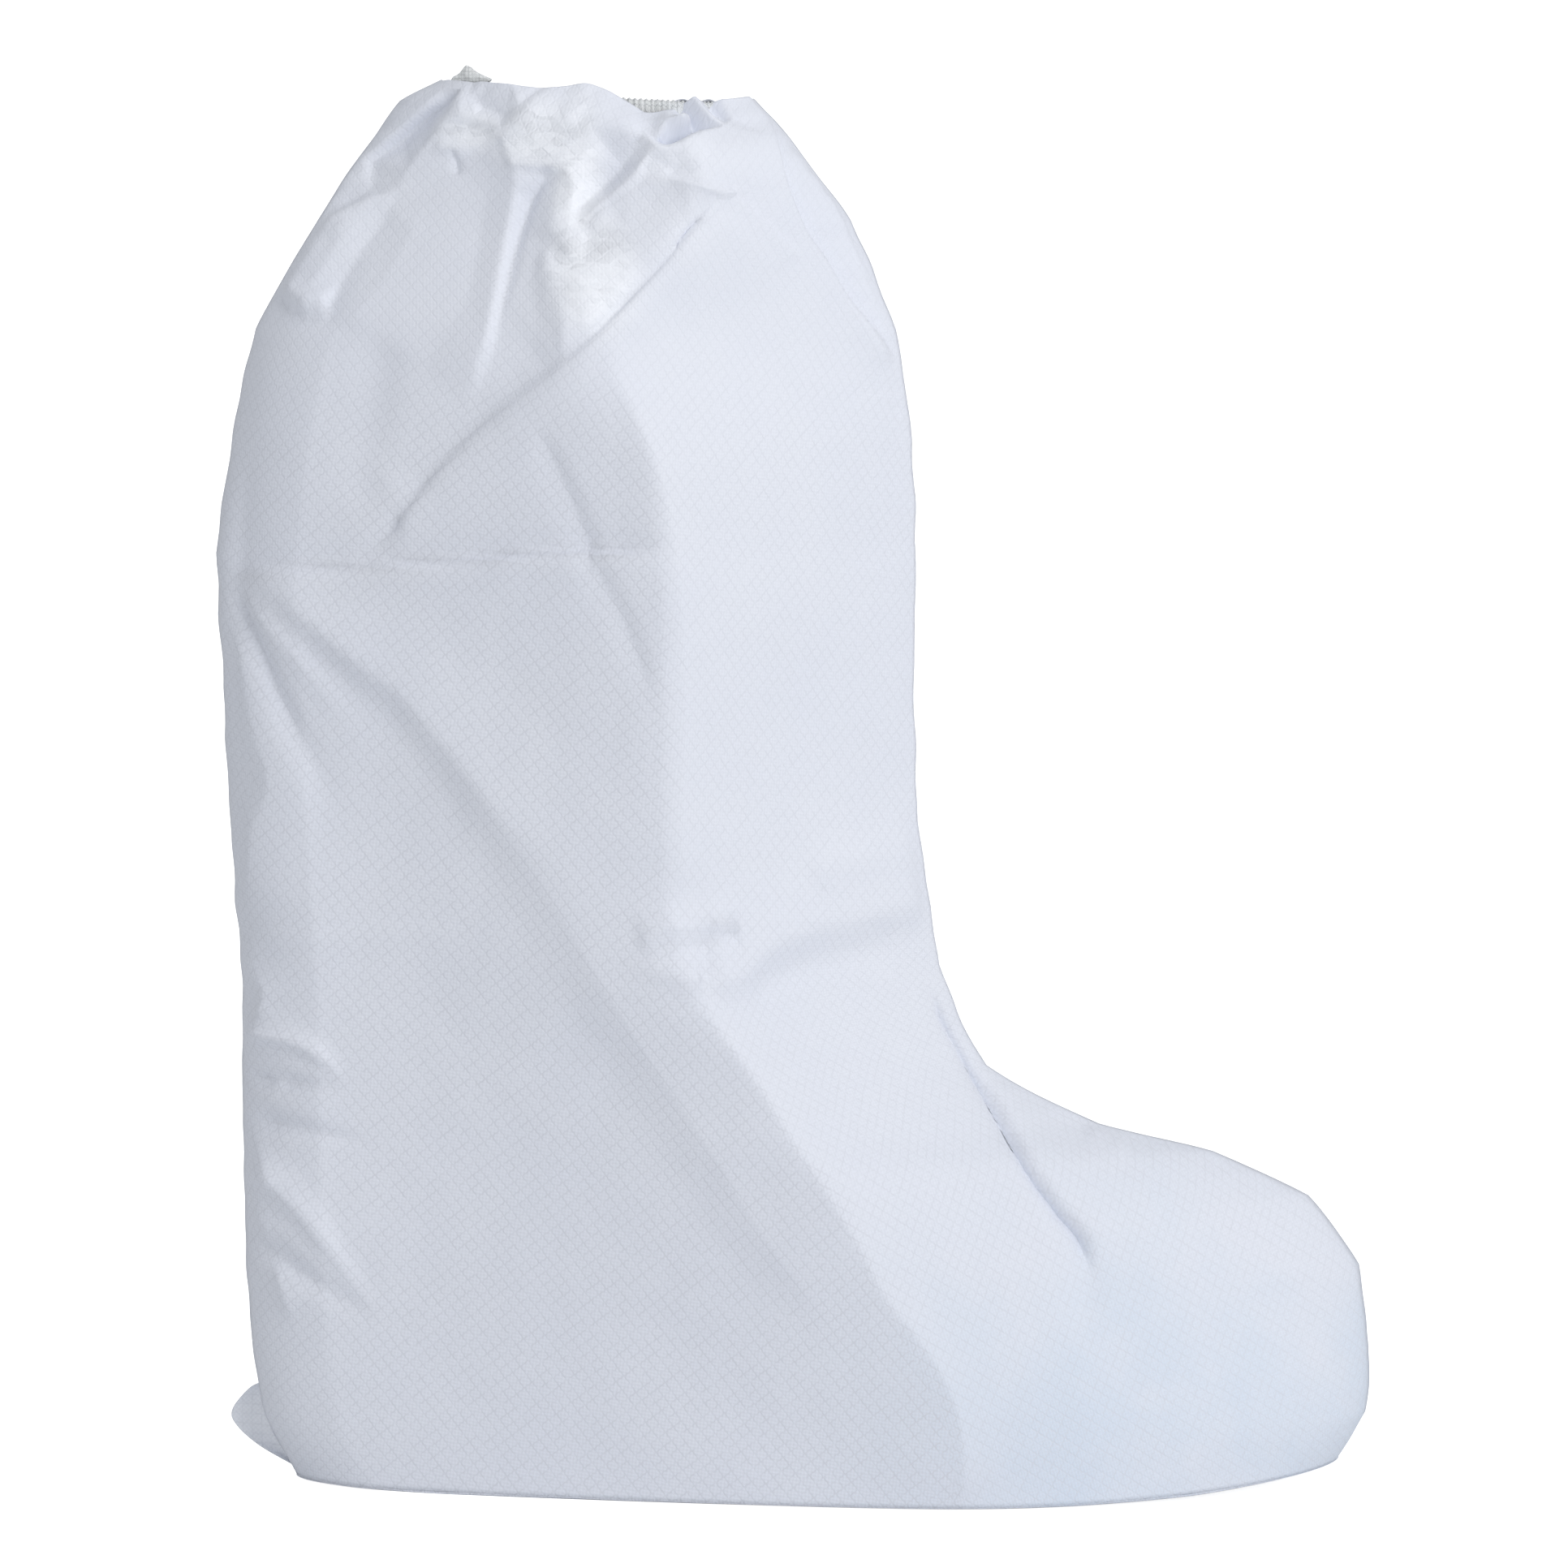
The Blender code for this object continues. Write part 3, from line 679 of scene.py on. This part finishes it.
foldShape = {
    "facetRound": 0.5,  # rounding of the creases between flat facets, in millimetres
    "facetLean": 5.5,  # how much higher a facet shows where the cloth leans in to the collar
    "leanBand": (385, 435),
    "pathSteps": 6,
    "ends": 0.14,  # share of a fold's length over which it rises and dies away
    "point": 0.4,  # how narrow a fold is at its ends, as a share of its width
    "tip": 0.12,  # and at the point of a cone or a fan
    "coneStart": 0.05,  # share over which a cone comes in
    "fan": (0.3, 0.5),  # shares over which a fan comes in and dies away
    "crest": 0.4,  # rounding of a crest or a pressed line, in millimetres
    "foot": 0.14,  # rounding where a flat flank runs out, as a share of its width
    "lip": 0.35,  # half width of a lap's edge, in millimetres
    "sunkShare": 0.6,
    "drawIn": 0.78,  # how far the grid closes up towards a crisp line
    "drawReach": 2.8,  # and from how far, in millimetres
    "drawEnd": 3,  # nothing moves further off than this many reaches
    "furthest": 4,  # and nothing is raised further off than this many widths
}


def foldPath(points):
    steps = (len(points) - 1) * foldShape["pathSteps"]
    return throughPoints(np.array(points, float), np.linspace(0, len(points) - 1, steps + 1))


def fromPath(x, z, path):
    # offset from the nearest point of the path, its sign (right of the way is positive) and share along
    nearest = np.full(x.shape, np.inf)
    offX, offZ, sign, along = (np.zeros(x.shape) for _ in range(4))
    done = 0.0
    for start, end in zip(path[:-1], path[1:]):
        run = np.hypot(*(end - start))
        way = (end - start) / run
        fromX, fromZ = x - start[0], z - start[1]
        t = np.clip(fromX * way[0] + fromZ * way[1], 0, run)
        gapX, gapZ = fromX - t * way[0], fromZ - t * way[1]
        gap = np.hypot(gapX, gapZ)
        closer = gap < nearest
        nearest[closer] = gap[closer]
        offX[closer], offZ[closer] = gapX[closer], gapZ[closer]
        sign[closer] = np.where(fromX * way[1] - fromZ * way[0] < 0, -1.0, 1.0)[closer]
        along[closer] = (done + t)[closer]
        done += run
    return offX, offZ, nearest * sign, along / done


def foldEnds(kind, along):
    # strength and width along a fold, as shares
    tip = foldShape["tip"]
    if kind == "cone":
        return smoothStep(along, 0, foldShape["coneStart"]) * (1 - along), blend(1.0, tip, along)
    if kind == "fan":
        start, end = foldShape["fan"]
        return smoothStep(along, 0, start) * smoothStep(1 - along, 0, end), blend(tip, 1.0, along)
    ends = smoothStep(along, 0, foldShape["ends"]) * smoothStep(1 - along, 0, foldShape["ends"])
    return ends, blend(foldShape["point"], 1.0, ends)


def nearPath(x, z, path, reach):
    low, high = path.min(axis=0) - reach, path.max(axis=0) + reach
    return (x > low[0]) & (x < high[0]) & (z > low[1]) & (z < high[1])


def drawIn(x, z, folds, loose):
    # closes the grid up along the crisp lines, so that they come out thin and straight
    x, z = x.copy(), z.copy()
    reach = foldShape["drawReach"]
    for kind, _, _, _, points in folds:
        if kind == "soft":
            continue
        path = foldPath(points)
        inside = nearPath(x, z, path, foldShape["drawEnd"] * reach)
        offX, offZ, signed, along = fromPath(x[inside], z[inside], path)
        ends, _ = foldEnds(kind, along)
        pull = foldShape["drawIn"] * np.exp(-((signed / reach) ** 2)) * ends * loose[inside]
        x[inside] -= pull * offX
        z[inside] -= pull * offZ
    return x, z


def foldProfile(kind, signed, left, right, narrow):
    width = np.where(signed > 0, right, left) * narrow
    if kind == "soft":
        return np.exp(-((signed / width) ** 2))
    crest = foldShape["crest"]
    gap = np.sqrt(signed**2 + crest**2) - crest
    if kind in ("tent", "cone", "fan"):
        foot = foldShape["foot"]
        return foot * np.logaddexp(0, (1 - gap / width) / foot)
    if kind == "lap":
        over = 1 / (1 + np.exp(np.clip(-signed / foldShape["lip"], -40, 40)))
        return np.exp(-gap / width) * (over - (1 - over) * foldShape["sunkShare"])
    return np.exp(-gap / width)


def foldHeight(x, z, folds):
    height = np.zeros(x.shape)
    for kind, rise, left, right, points in folds:
        path = foldPath(points)
        inside = nearPath(x, z, path, foldShape["furthest"] * max(left, right))
        _, _, signed, along = fromPath(x[inside], z[inside], path)
        ends, narrow = foldEnds(kind, along)
        height[inside] += rise * ends * foldProfile(kind, signed, left, right, narrow)
    return height


def facetHeight(x, z, creases):
    # straight runs between the creases, from a triangle mesh laid through them
    spots, edges = [], []
    for crease in creases:
        edges += [(len(spots) + k, len(spots) + k + 1) for k in range(len(crease) - 1)]
        spots += crease
    flat = [Vector(spot[:2]) for spot in spots]
    places, _, faces, origins, _, _ = geometry.delaunay_2d_cdt(flat, edges, [], 0, 0.01)
    rises = [spots[origin[0]][2] if origin else 0.0 for origin in origins]
    reach = foldShape["facetRound"]
    height = np.zeros(x.shape)
    steps = ((0, 0), (reach, 0), (-reach, 0), (0, reach), (0, -reach))
    for stepX, stepZ in steps:
        seen = np.zeros(x.shape, bool)
        for face in faces:
            (aX, aZ), (bX, bZ), (cX, cZ) = (places[k] for k in face)
            twice = (bX - aX) * (cZ - aZ) - (cX - aX) * (bZ - aZ)
            offX, offZ = x + stepX - aX, z + stepZ - aZ
            second = (offX * (cZ - aZ) - offZ * (cX - aX)) / twice
            third = (offZ * (bX - aX) - offX * (bZ - aZ)) / twice
            inside = (second >= 0) & (third >= 0) & (second + third <= 1) & ~seen
            a, b, c = (rises[k] for k in face)
            height[inside] += (a + (b - a) * second + (c - a) * third)[inside] / len(steps)
            seen |= inside
    return height


def noiseField(points, scale):
    field = [noise.noise(Vector(point) / scale) for point in points.reshape(-1, 3)]
    return np.array(field).reshape(points.shape[:-1])


def creaseField(points, scale):
    # sharp ridges between hollow facets
    field = []
    for point in points.reshape(-1, 3):
        gaps, _ = noise.voronoi(Vector(point) / scale)
        field.append(gaps[0] - gaps[1])
    return np.array(field).reshape(points.shape[:-1])


# Side panels

nearPanel = {
    "side": -1,
    "behind": 118,  # columns on either side of the ridge
    "ahead": 92,
    "frontFade": 6,  # columns over which the lines grow fainter
    "rowScale": 1.0,
    "folds": nearFolds,
    "creases": collarCreases,
    "pleatDepth": 0.1,
    # x and half width of each puff of cloth over the elastic, how far it stands up and out
    "puffs": [(-66, 7, 2.2, 0.6), (-86, 10, -0.4, 0.4), (-46, 9, -6.4, 0.0), (-22, 7, -0.8, 0.0)],
    # patches of creased film: middle and half size in x and z, and strength; the faint patch over the tube
    # at (-136, 410) also lifts the tube's colour as painted light where it faces the lamp
    "film": [(-80, 442, 16, 12, 1.0), (-64, 396, 14, 20, 1.0), (-69, 428, 9, 28, 1.0),
             (-40, 436, 14, 9, 0.35), (-102, 444, 12, 7, 0.9), (-136, 410, 18, 28, 0.15),
             (-44, 412, 18, 12, 0.12)],
}

farPanel = {
    "side": 1,
    "behind": 88,
    "ahead": 60,
    "frontFade": 4,
    "rowScale": 0.72,
    "folds": farFolds,
    "creases": [],
    "pleatDepth": 0.9,
    "puffs": [(-62, 40, -5.0, 0.8)],
    "film": [(-84, 434, 20, 15, 1.0), (-56, 420, 22, 18, 0.9), (-24, 438, 16, 12, 0.6),
             (-112, 438, 16, 14, 0.6)],
}

slackCloth = {
    "pleats": 13,
    "lowest": 13.2,  # section where the pleats die away
    "fullest": 16.2,
    "swirl": ((1, 1, 0.2), 30 * mm, 3.0),  # stretch, size and strength of the pleats' wander
    "puffUp": (14.6, 17.0),  # sections over which the puffs stand up
    "puffOut": (14.0, 15.6, 17.4, 16.4),  # sections over which they swell, and sink back
    "seamShare": 0.035,  # share of a row beside each seam where folds die away
    "soleFade": 0.6,  # and how many sections above the sole and below the rim
    "rimFade": 0.4,
    "steepest": 0.3,  # limits how far a point moves in or out as it slides along the cloth
    "crumple": 0.8,
    "crumpleSize": 15 * mm,
    "waves": [(0.8, 34 * mm), (0.2, 12 * mm)],  # height and size of the gentle waves
    "pucker": (0.3, 7.0, 5.0),  # height, pitch and reach of the puckers along the seams
    "puckerStart": 0.01,
    "wander": (0.8, 13 * mm, 9.0),  # how far the seams wander, over what length, and its reach inwards
    "weaveTurn": 38.0,  # the emboss, in degrees
    "footTurn": 22.0,  # and how much further it is turned on the foot, ahead of the ridge
    "footBand": (0.11, 0.20),
    "footPivot": (0.013, 0.18),
    "grainX": -0.04,  # the emboss is laid out from here, row by row
    "frontSqueeze": 0.15,
}


def panelGrid(settings):
    # place and share of every grid point, in the order of the grid
    rows = [max(2, round(count * settings["rowScale"])) for count in formTable[:-1, columnAt["rows"]]]
    place = np.concatenate([[0]] + [index + np.arange(1, n + 1) / n for index, n in enumerate(rows)])
    apex = throughPoints(formTable, place)[:, columnAt["apex"]][:, None]
    back = np.linspace(0, 1, settings["behind"] + 1)
    front = np.linspace(0, 1, settings["ahead"] + 1)[1:]
    share = np.concatenate([apex * back, apex + (1 - apex) * front], axis=1)
    return np.repeat(place[:, None], share.shape[1], axis=1), share


def puffShape(settings, x, place):
    up = np.zeros(x.shape)
    out = np.zeros(x.shape)
    for middle, half, rise, swell in settings["puffs"]:
        bell = np.exp(-(((x - middle) / half) ** 2))
        up += rise * bell
        out += swell * bell
    low, high, end, full = slackCloth["puffOut"]
    out *= smoothStep(place, low, high) * smoothStep(place, end, full)
    return up * smoothStep(place, *slackCloth["puffUp"]), out


def filmShape(settings, x, z):
    film = np.zeros(x.shape)
    for midX, midZ, halfX, halfZ, strength in settings["film"]:
        away = ((x - midX) / halfX) ** 2 + ((z - midZ) / halfZ) ** 2
        film = np.maximum(film, strength * np.exp(-(away**2)))
    return film


def clothPlaces(base, slide, behind):
    # arc along each row from the grain line, and height, turned so that the emboss runs along the axes
    steps = np.linalg.norm(np.diff(base, axis=1), axis=2)
    arc = np.concatenate([np.zeros((len(base), 1)), np.cumsum(steps, axis=1)], axis=1)
    arc += slackCloth["frontSqueeze"] * np.clip(arc - arc[:, behind][:, None], 0, None)
    grain = [np.interp(slackCloth["grainX"], x, run) for x, run in zip(base[..., 0], arc)]
    flat = arc - np.array(grain)[:, None] + slide[0] + 1j * (base[..., 2] + slide[1])
    turn = math.radians(slackCloth["weaveTurn"])
    further = math.radians(slackCloth["footTurn"]) * (1 - smoothStep(base[..., 2], *slackCloth["footBand"]))
    pivot = complex(*slackCloth["footPivot"])
    rear = flat * np.exp(-1j * turn)
    return rear, (flat - pivot) * np.exp(-1j * (turn + further)) + pivot * np.exp(-1j * turn)


def panelPoints(settings):
    place, share = panelGrid(settings)
    shape = place.shape
    base = sideShape(place.ravel(), share.ravel(), settings["side"]).reshape(*shape, 3)
    alongRow = np.gradient(base, axis=1)
    normal = np.cross(alongRow, np.gradient(base, axis=0)) * -settings["side"]
    normal /= np.linalg.norm(normal, axis=2, keepdims=True)
    fromSeam = np.minimum(share, 1 - share)
    offSeam = smoothStep(fromSeam, 0.0, slackCloth["seamShare"])
    offSole = smoothStep(place, 0.0, slackCloth["soleFade"])
    loose = offSeam * offSole * smoothStep(topSection - place, 0.0, slackCloth["rimFade"])

    # points slide along the cloth to the crisp lines
    x, z = base[..., 0] / mm, base[..., 2] / mm
    newX, newZ = drawIn(x, z, settings["folds"], loose)
    moveX, moveZ = (newX - x) * mm, (newZ - z) * mm
    facing = normal[..., 1]
    steepest = slackCloth["steepest"]
    level = np.where(np.abs(facing) < steepest, np.sign(facing) * steepest, facing)
    moveY = -(normal[..., 0] * moveX + normal[..., 2] * moveZ) / level
    points = base + np.stack([moveX, moveY, moveZ], axis=-1)
    slide = moveX * np.linalg.norm(alongRow, axis=2) / alongRow[..., 0], moveZ

    # heights off the cloth, in millimetres
    height = foldHeight(newX, newZ, settings["folds"])
    up, out = puffShape(settings, newX, place)
    shownZ = newZ + up + foldShape["facetLean"] * smoothStep(newZ, *foldShape["leanBand"])
    if settings["creases"]:
        height += facetHeight(newX, shownZ, settings["creases"])
    film = filmShape(settings, newX, shownZ)
    for rise, size in slackCloth["waves"]:
        height += rise * noiseField(points, size)
    height += slackCloth["crumple"] * film * creaseField(points, slackCloth["crumpleSize"])
    stretch, size, strength = slackCloth["swirl"]
    swirl = strength * noiseField(points * stretch, size)
    pleat = np.cos(2 * math.pi * slackCloth["pleats"] * share + swirl)
    height += settings["pleatDepth"] * pleat * smoothStep(place, slackCloth["lowest"], slackCloth["fullest"])
    height = (height + out) * offSeam
    rise, pitch, reach = slackCloth["pucker"]
    seamGap = fromSeam * (base[:, -1, 0] - base[:, 0, 0])[:, None] / mm
    pucker = np.exp(-seamGap / reach) * smoothStep(fromSeam, 0, slackCloth["puckerStart"])
    height += rise * np.sin(2 * math.pi * z / pitch) * pucker
    points = points + normal * (height * offSole * mm)[..., None]
    points[..., 2] += up * mm

    # the seams wander a little
    sway, size, reach = slackCloth["wander"]
    seam = np.stack([np.where(share < 0.5, 0.0, 1.0), np.zeros(shape), base[..., 2]], -1)
    held = offSole * smoothStep(topSection - place, 0.0, 1.0) * np.exp(-seamGap / reach)
    points[..., 0] += sway * mm * noiseField(seam, size) * held
    return clothPlaces(base, slide, settings["behind"]), points, film


def setCut(mesh, cut):
    layer = mesh.uv_layers.new(name="cut")
    layer.data.foreach_set("uv", np.stack([cut.real, cut.imag], axis=-1).astype(np.float32).ravel())


def setMask(mesh, name, mask):
    mesh.attributes.new(name, "FLOAT", "POINT").data.foreach_set("value", mask.astype(np.float32).ravel())


def cornerPlaces(mesh):
    corners = np.empty(len(mesh.loops), np.int32)
    mesh.loops.foreach_get("vertex_index", corners)
    return corners


def addWall(obj, thickness):
    wall = obj.modifiers.new("wall", "SOLIDIFY")
    wall.thickness = thickness
    wall.offset = -1.0


def buildPanel(name, settings):
    (rear, front), points, film = panelPoints(settings)
    rows, columns = points.shape[0] - 1, points.shape[1] - 1
    bm, *_ = flatGrid((columns, rows))
    movePoints(bm, points.reshape(-1, 3))
    if settings["side"] > 0:
        bmesh.ops.reverse_faces(bm, faces=bm.faces)
    obj = finishPiece(name, bm)
    corners = cornerPlaces(obj.data)
    column = (corners % (columns + 1)).reshape(-1, 4)
    isAhead = np.repeat(column.min(axis=1) >= settings["behind"], 4)
    setCut(obj.data, np.where(isAhead, front.ravel()[corners], rear.ravel()[corners]))
    setMask(obj.data, "film", film)
    across = np.arange(columns + 1) - settings["behind"]
    setMask(obj.data, "front", np.tile(smoothStep(across, 0, settings["frontFade"]), rows + 1))
    addWall(obj, coverForm["wall"])
    seatPiece(obj, laminateCloth, "upper")
    print(name, "built,", len(obj.data.polygons), "faces")
    return obj


nearSide = buildPanel("nearSidePanel", nearPanel)
farSide = buildPanel("farSidePanel", farPanel)

# Sole

soleSheet = {
    "flat": (0.116, 0.340),
    "area": 0.0275,
    "segments": (96, 40),
    "wall": 0.5 * mm,
    "lip": 0.7 * mm,  # how far the edge rolls up to the side panels
    "lipStart": 0.965,
    "ripple": (0.12 * mm, 24 * mm, 6),  # rise, size, and how far out it goes on
    "weaveTurn": 45.0,
    "colour": (0.790, 0.822, 0.905, 1.0),
    "lineAndShadeStrength": 0.85,
    "embossDepth": 0.2 * mm,
}


def buildSole():
    bm, u, v = flatGrid(soleSheet["segments"])
    discX, discY = u * np.sqrt(1 - v**2 / 2), v * np.sqrt(1 - u**2 / 2)
    share = np.clip((1 + discX) / 2, 0, 1)
    points = sideShape(np.zeros(share.shape), share, 1)
    points[:, 1] *= np.clip(discY / np.sqrt(np.clip(1 - discX**2, 1e-9, 1)), -1, 1)
    points[:, 2] -= formTable[0, columnAt["backZ"]] / 100 * coverHeight
    rim = np.maximum(np.abs(u), np.abs(v))
    rise, size, outward = soleSheet["ripple"]
    lip = soleSheet["lip"] * smoothStep(rim, soleSheet["lipStart"], 1.0)
    points[:, 2] += rise * (noiseField(points, size) + 1) * (1 - rim**outward) + lip
    movePoints(bm, points)
    bmesh.ops.reverse_faces(bm, faces=bm.faces)
    obj = finishPiece("soleSheet", bm)
    turned = (points[:, 0] + 1j * points[:, 1]) * np.exp(-1j * math.radians(soleSheet["weaveTurn"]))
    setCut(obj.data, turned[cornerPlaces(obj.data)])
    addWall(obj, soleSheet["wall"])
    own = {name: soleSheet[name] for name in ("colour", "lineAndShadeStrength", "embossDepth")}
    seatPiece(obj, clothMaterial("soleCloth", laminate | own), "sole")
    print("sole built")
    return obj


sole = buildSole()

# Collar elastic and the knot at the back seam

elasticBand = {
    "segments": (1080, 12),  # along the rim, and round the band
    "thickness": 1.0 * mm,
    "tall": 6.4 * mm,
    "inset": 1.5 * mm,
    "top": -1.4 * mm,  # from the rim
    "sag": (0.0 * mm, 5.0 * mm),  # on the near and on the far side
    "scallops": 172,
    "scallopRise": 0.3 * mm,
    "scallopSwell": 0.25 * mm,
    "uneven": (1.5, 5),  # how uneven the scallops are, and in how many waves round the rim
    "corner": 0.6,  # squares up the band's edges
    "weld": 0.02 * mm,
    "probe": 1e-3,  # turn over which the rim's direction is taken
    "pitch": 1.15 * mm,  # of the ribs
    "colour": (0.890, 0.915, 0.925, 1.0),
    "paleTone": (0.940, 0.955, 0.955, 1.0),
    # colour of the ribs, also used for the painted shade in their hollows
    "lineAndShadeColour": (0.46, 0.48, 0.49, 1.0),
    "lineAndShadeStrength": 0.7,
    "embossDepth": 0.12 * mm,
    "wander": 0.3 * mm,
    "toneScale": 160.0,
    "rough": (0.72, 0.1),
    "specular": 0.25,
}


def elasticMaterial():
    material, tree, shader = newMaterial("elasticKnit")
    _, ribsAndShade, _, plain, rough, bumps = wovenParts(tree, shader, elasticBand)
    # the knit's ribs and the painted shade in their hollows darken the colour
    dark = mathNode(tree, "MULTIPLY", ribsAndShade, elasticBand["lineAndShadeStrength"])
    tree.links.new(mixColour(tree, dark, plain, elasticBand["lineAndShadeColour"]), shader.inputs["Base Color"])
    tree.links.new(rough, shader.inputs["Roughness"])
    tree.links.new(bumps, shader.inputs["Normal"])
    return material


elasticKnit = elasticMaterial()


def rimPoint(turn):
    # the collar's rim: an ellipse that starts at the back seam and passes the near side first
    backX, backZ, frontX, frontZ, depth, *_ = formTable[-1]
    share = (1 - np.cos(turn)) / 2
    x = blend(backX, frontX, share) / 100 * coverLength
    z = blend(backZ, frontZ, share) / 100 * coverHeight
    return np.stack([x, -np.sin(turn) * depth / 100 * ballHalf, z], axis=-1)


def squared(value):
    return np.sign(value) * np.abs(value) ** elasticBand["corner"]


def buildElastic():
    bm, u, v = flatGrid(elasticBand["segments"])
    turn, loop = (u + 1) * math.pi, (v + 1) * math.pi
    rim = rimPoint(turn)
    step = rimPoint(turn + elasticBand["probe"]) - rim
    out = np.stack([step[:, 1], -step[:, 0], np.zeros(len(turn))], -1)
    out /= np.linalg.norm(out, axis=1, keepdims=True)
    if np.sum(out[:, 1] * rim[:, 1]) < 0:
        out = -out
    uneven, waves = elasticBand["uneven"]
    wave = np.cos(elasticBand["scallops"] * turn + uneven * np.sin(waves * turn))
    thick = squared(np.cos(loop)) * elasticBand["thickness"] / 2
    tall = squared(np.sin(loop)) * elasticBand["tall"] / 2
    away = thick - elasticBand["inset"] + elasticBand["scallopSwell"] * wave
    lift = tall + elasticBand["top"] - elasticBand["tall"] / 2 + elasticBand["scallopRise"] * wave
    points = rim + out * away[:, None]
    nearSag, farSag = elasticBand["sag"]
    points[:, 2] += lift - np.where(turn < math.pi, nearSag, farSag) * np.sin(turn) ** 2
    movePoints(bm, points)
    backX, frontX = (formTable[-1, columnAt[name]] for name in ("backX", "frontX"))
    cut = turn * (frontX - backX) / 200 * coverLength + 1j * v * elasticBand["tall"]
    layer = bm.loops.layers.uv.new("cut")
    bm.verts.ensure_lookup_table()
    for face in bm.faces:
        for corner in face.loops:
            place = cut[corner.vert.index]
            corner[layer].uv = (place.real, place.imag)
    bmesh.ops.remove_doubles(bm, verts=bm.verts, dist=elasticBand["weld"])
    bmesh.ops.recalc_face_normals(bm, faces=bm.faces)
    obj = finishPiece("collarElastic", bm)
    seatPiece(obj, elasticKnit, "collar_elastic")
    print("elastic built")


buildElastic()

seamKnot = {
    "subdivisions": 5,
    "middle": (-105.0, 0.0, 453.8),
    "half": (5.4, 2.2, 2.3),
    "peak": (-105.2, 2.6, 2.3),  # x, rise and half width of the point that stands up
    "tail": (-96.0, 454.0),  # x and z of the short end that lies along the rim
    "tailStart": 0.3,  # share of the way out where it starts
    "tailPull": (0.7, 0.6, 0.5),  # how far it is drawn along, down and thin
    "crumple": (0.6, 3.2),  # rise and size
    "crease": (0.9, 2.1, 3, 0.9, 1.6),  # sharpness, spacing, layers, level and contrast of the creases
}


def buildKnot():
    bm = bmesh.new()
    bmesh.ops.create_icosphere(bm, subdivisions=seamKnot["subdivisions"], radius=1.0)
    layer = bm.loops.layers.uv.new("cut")
    rise, size = seamKnot["crumple"]
    peakX, peakRise, peakHalf = seamKnot["peak"]
    tailX, tailZ = seamKnot["tail"]
    alongPull, downPull, thinner = seamKnot["tailPull"]
    start = seamKnot["tailStart"]
    for vert in bm.verts:
        way = vert.co.copy()
        point = Vector(m + h * w for m, h, w in zip(seamKnot["middle"], seamKnot["half"], way))
        point += way * (noise.ridged_multi_fractal(point / size, *seamKnot["crease"]) - 1.0) * rise
        point.z += max(0.0, way.z) * peakRise * math.exp(-(((point.x - peakX) / peakHalf) ** 2))
        if way.x > start:
            pull = (way.x - start) / (1 - start)
            point.x += pull * (tailX - point.x) * alongPull
            point.z += pull * (tailZ - point.z) * downPull
            point.y *= 1 - thinner * pull
        vert.co = point * mm
    for face in bm.faces:
        for corner in face.loops:
            corner[layer].uv = (corner.vert.co.x, corner.vert.co.z)
    obj = finishPiece("backSeamKnot", bm)
    seatPiece(obj, elasticKnit, "back_seam_tab")
    print("knot built")


buildKnot()

# Corner of cloth behind the heel

heelEar = {
    "segments": (36, 24),
    # its two long edges from the top down, in millimetres
    "root": [(-171, 3.0, 30), (-172, 3.2, 24), (-171, 3.4, 17), (-169, 3.4, 12), (-165, 3.4, 6.5),
             (-159, 3.2, 1.4)],
    "edge": [(-173.5, 4.0, 30.6), (-178.3, 5.4, 27.9), (-183.8, 7.2, 20.6), (-182.6, 7.4, 15.4),
             (-175.4, 6.0, 9.2), (-162.4, 4.0, 1.8)],
    "film": 0.6,
    "flat": (0.013, 0.036),
    "area": 0.0003,
    "belly": 1.6,
    "crinkle": (0.9, 9.0),
    "wall": 0.45 * mm,
}


def buildEar():
    bm, u, v = flatGrid(heelEar["segments"])
    place = (u + 1) / 2 * (len(heelEar["root"]) - 1)
    out = (v + 1) / 2
    root = throughPoints(np.array(heelEar["root"], float), place)
    edge = throughPoints(np.array(heelEar["edge"], float), place)
    points = blend(root, edge, out[:, None])
    rise, size = heelEar["crinkle"]
    ripple = noiseField(points, size) * rise * out
    points[:, 1] += heelEar["belly"] * np.sin(math.pi * out) + ripple
    movePoints(bm, points * mm)
    bmesh.ops.recalc_face_normals(bm, faces=bm.faces)
    obj = finishPiece("heelEar", bm)
    setCut(obj.data, (points[:, 0] + 1j * points[:, 2])[cornerPlaces(obj.data)] * mm)
    setMask(obj.data, "film", np.full(len(points), heelEar["film"]))
    addWall(obj, heelEar["wall"])
    seatPiece(obj, laminateCloth, "heel_ear")
    print("ear built")
    return obj


ear = buildEar()
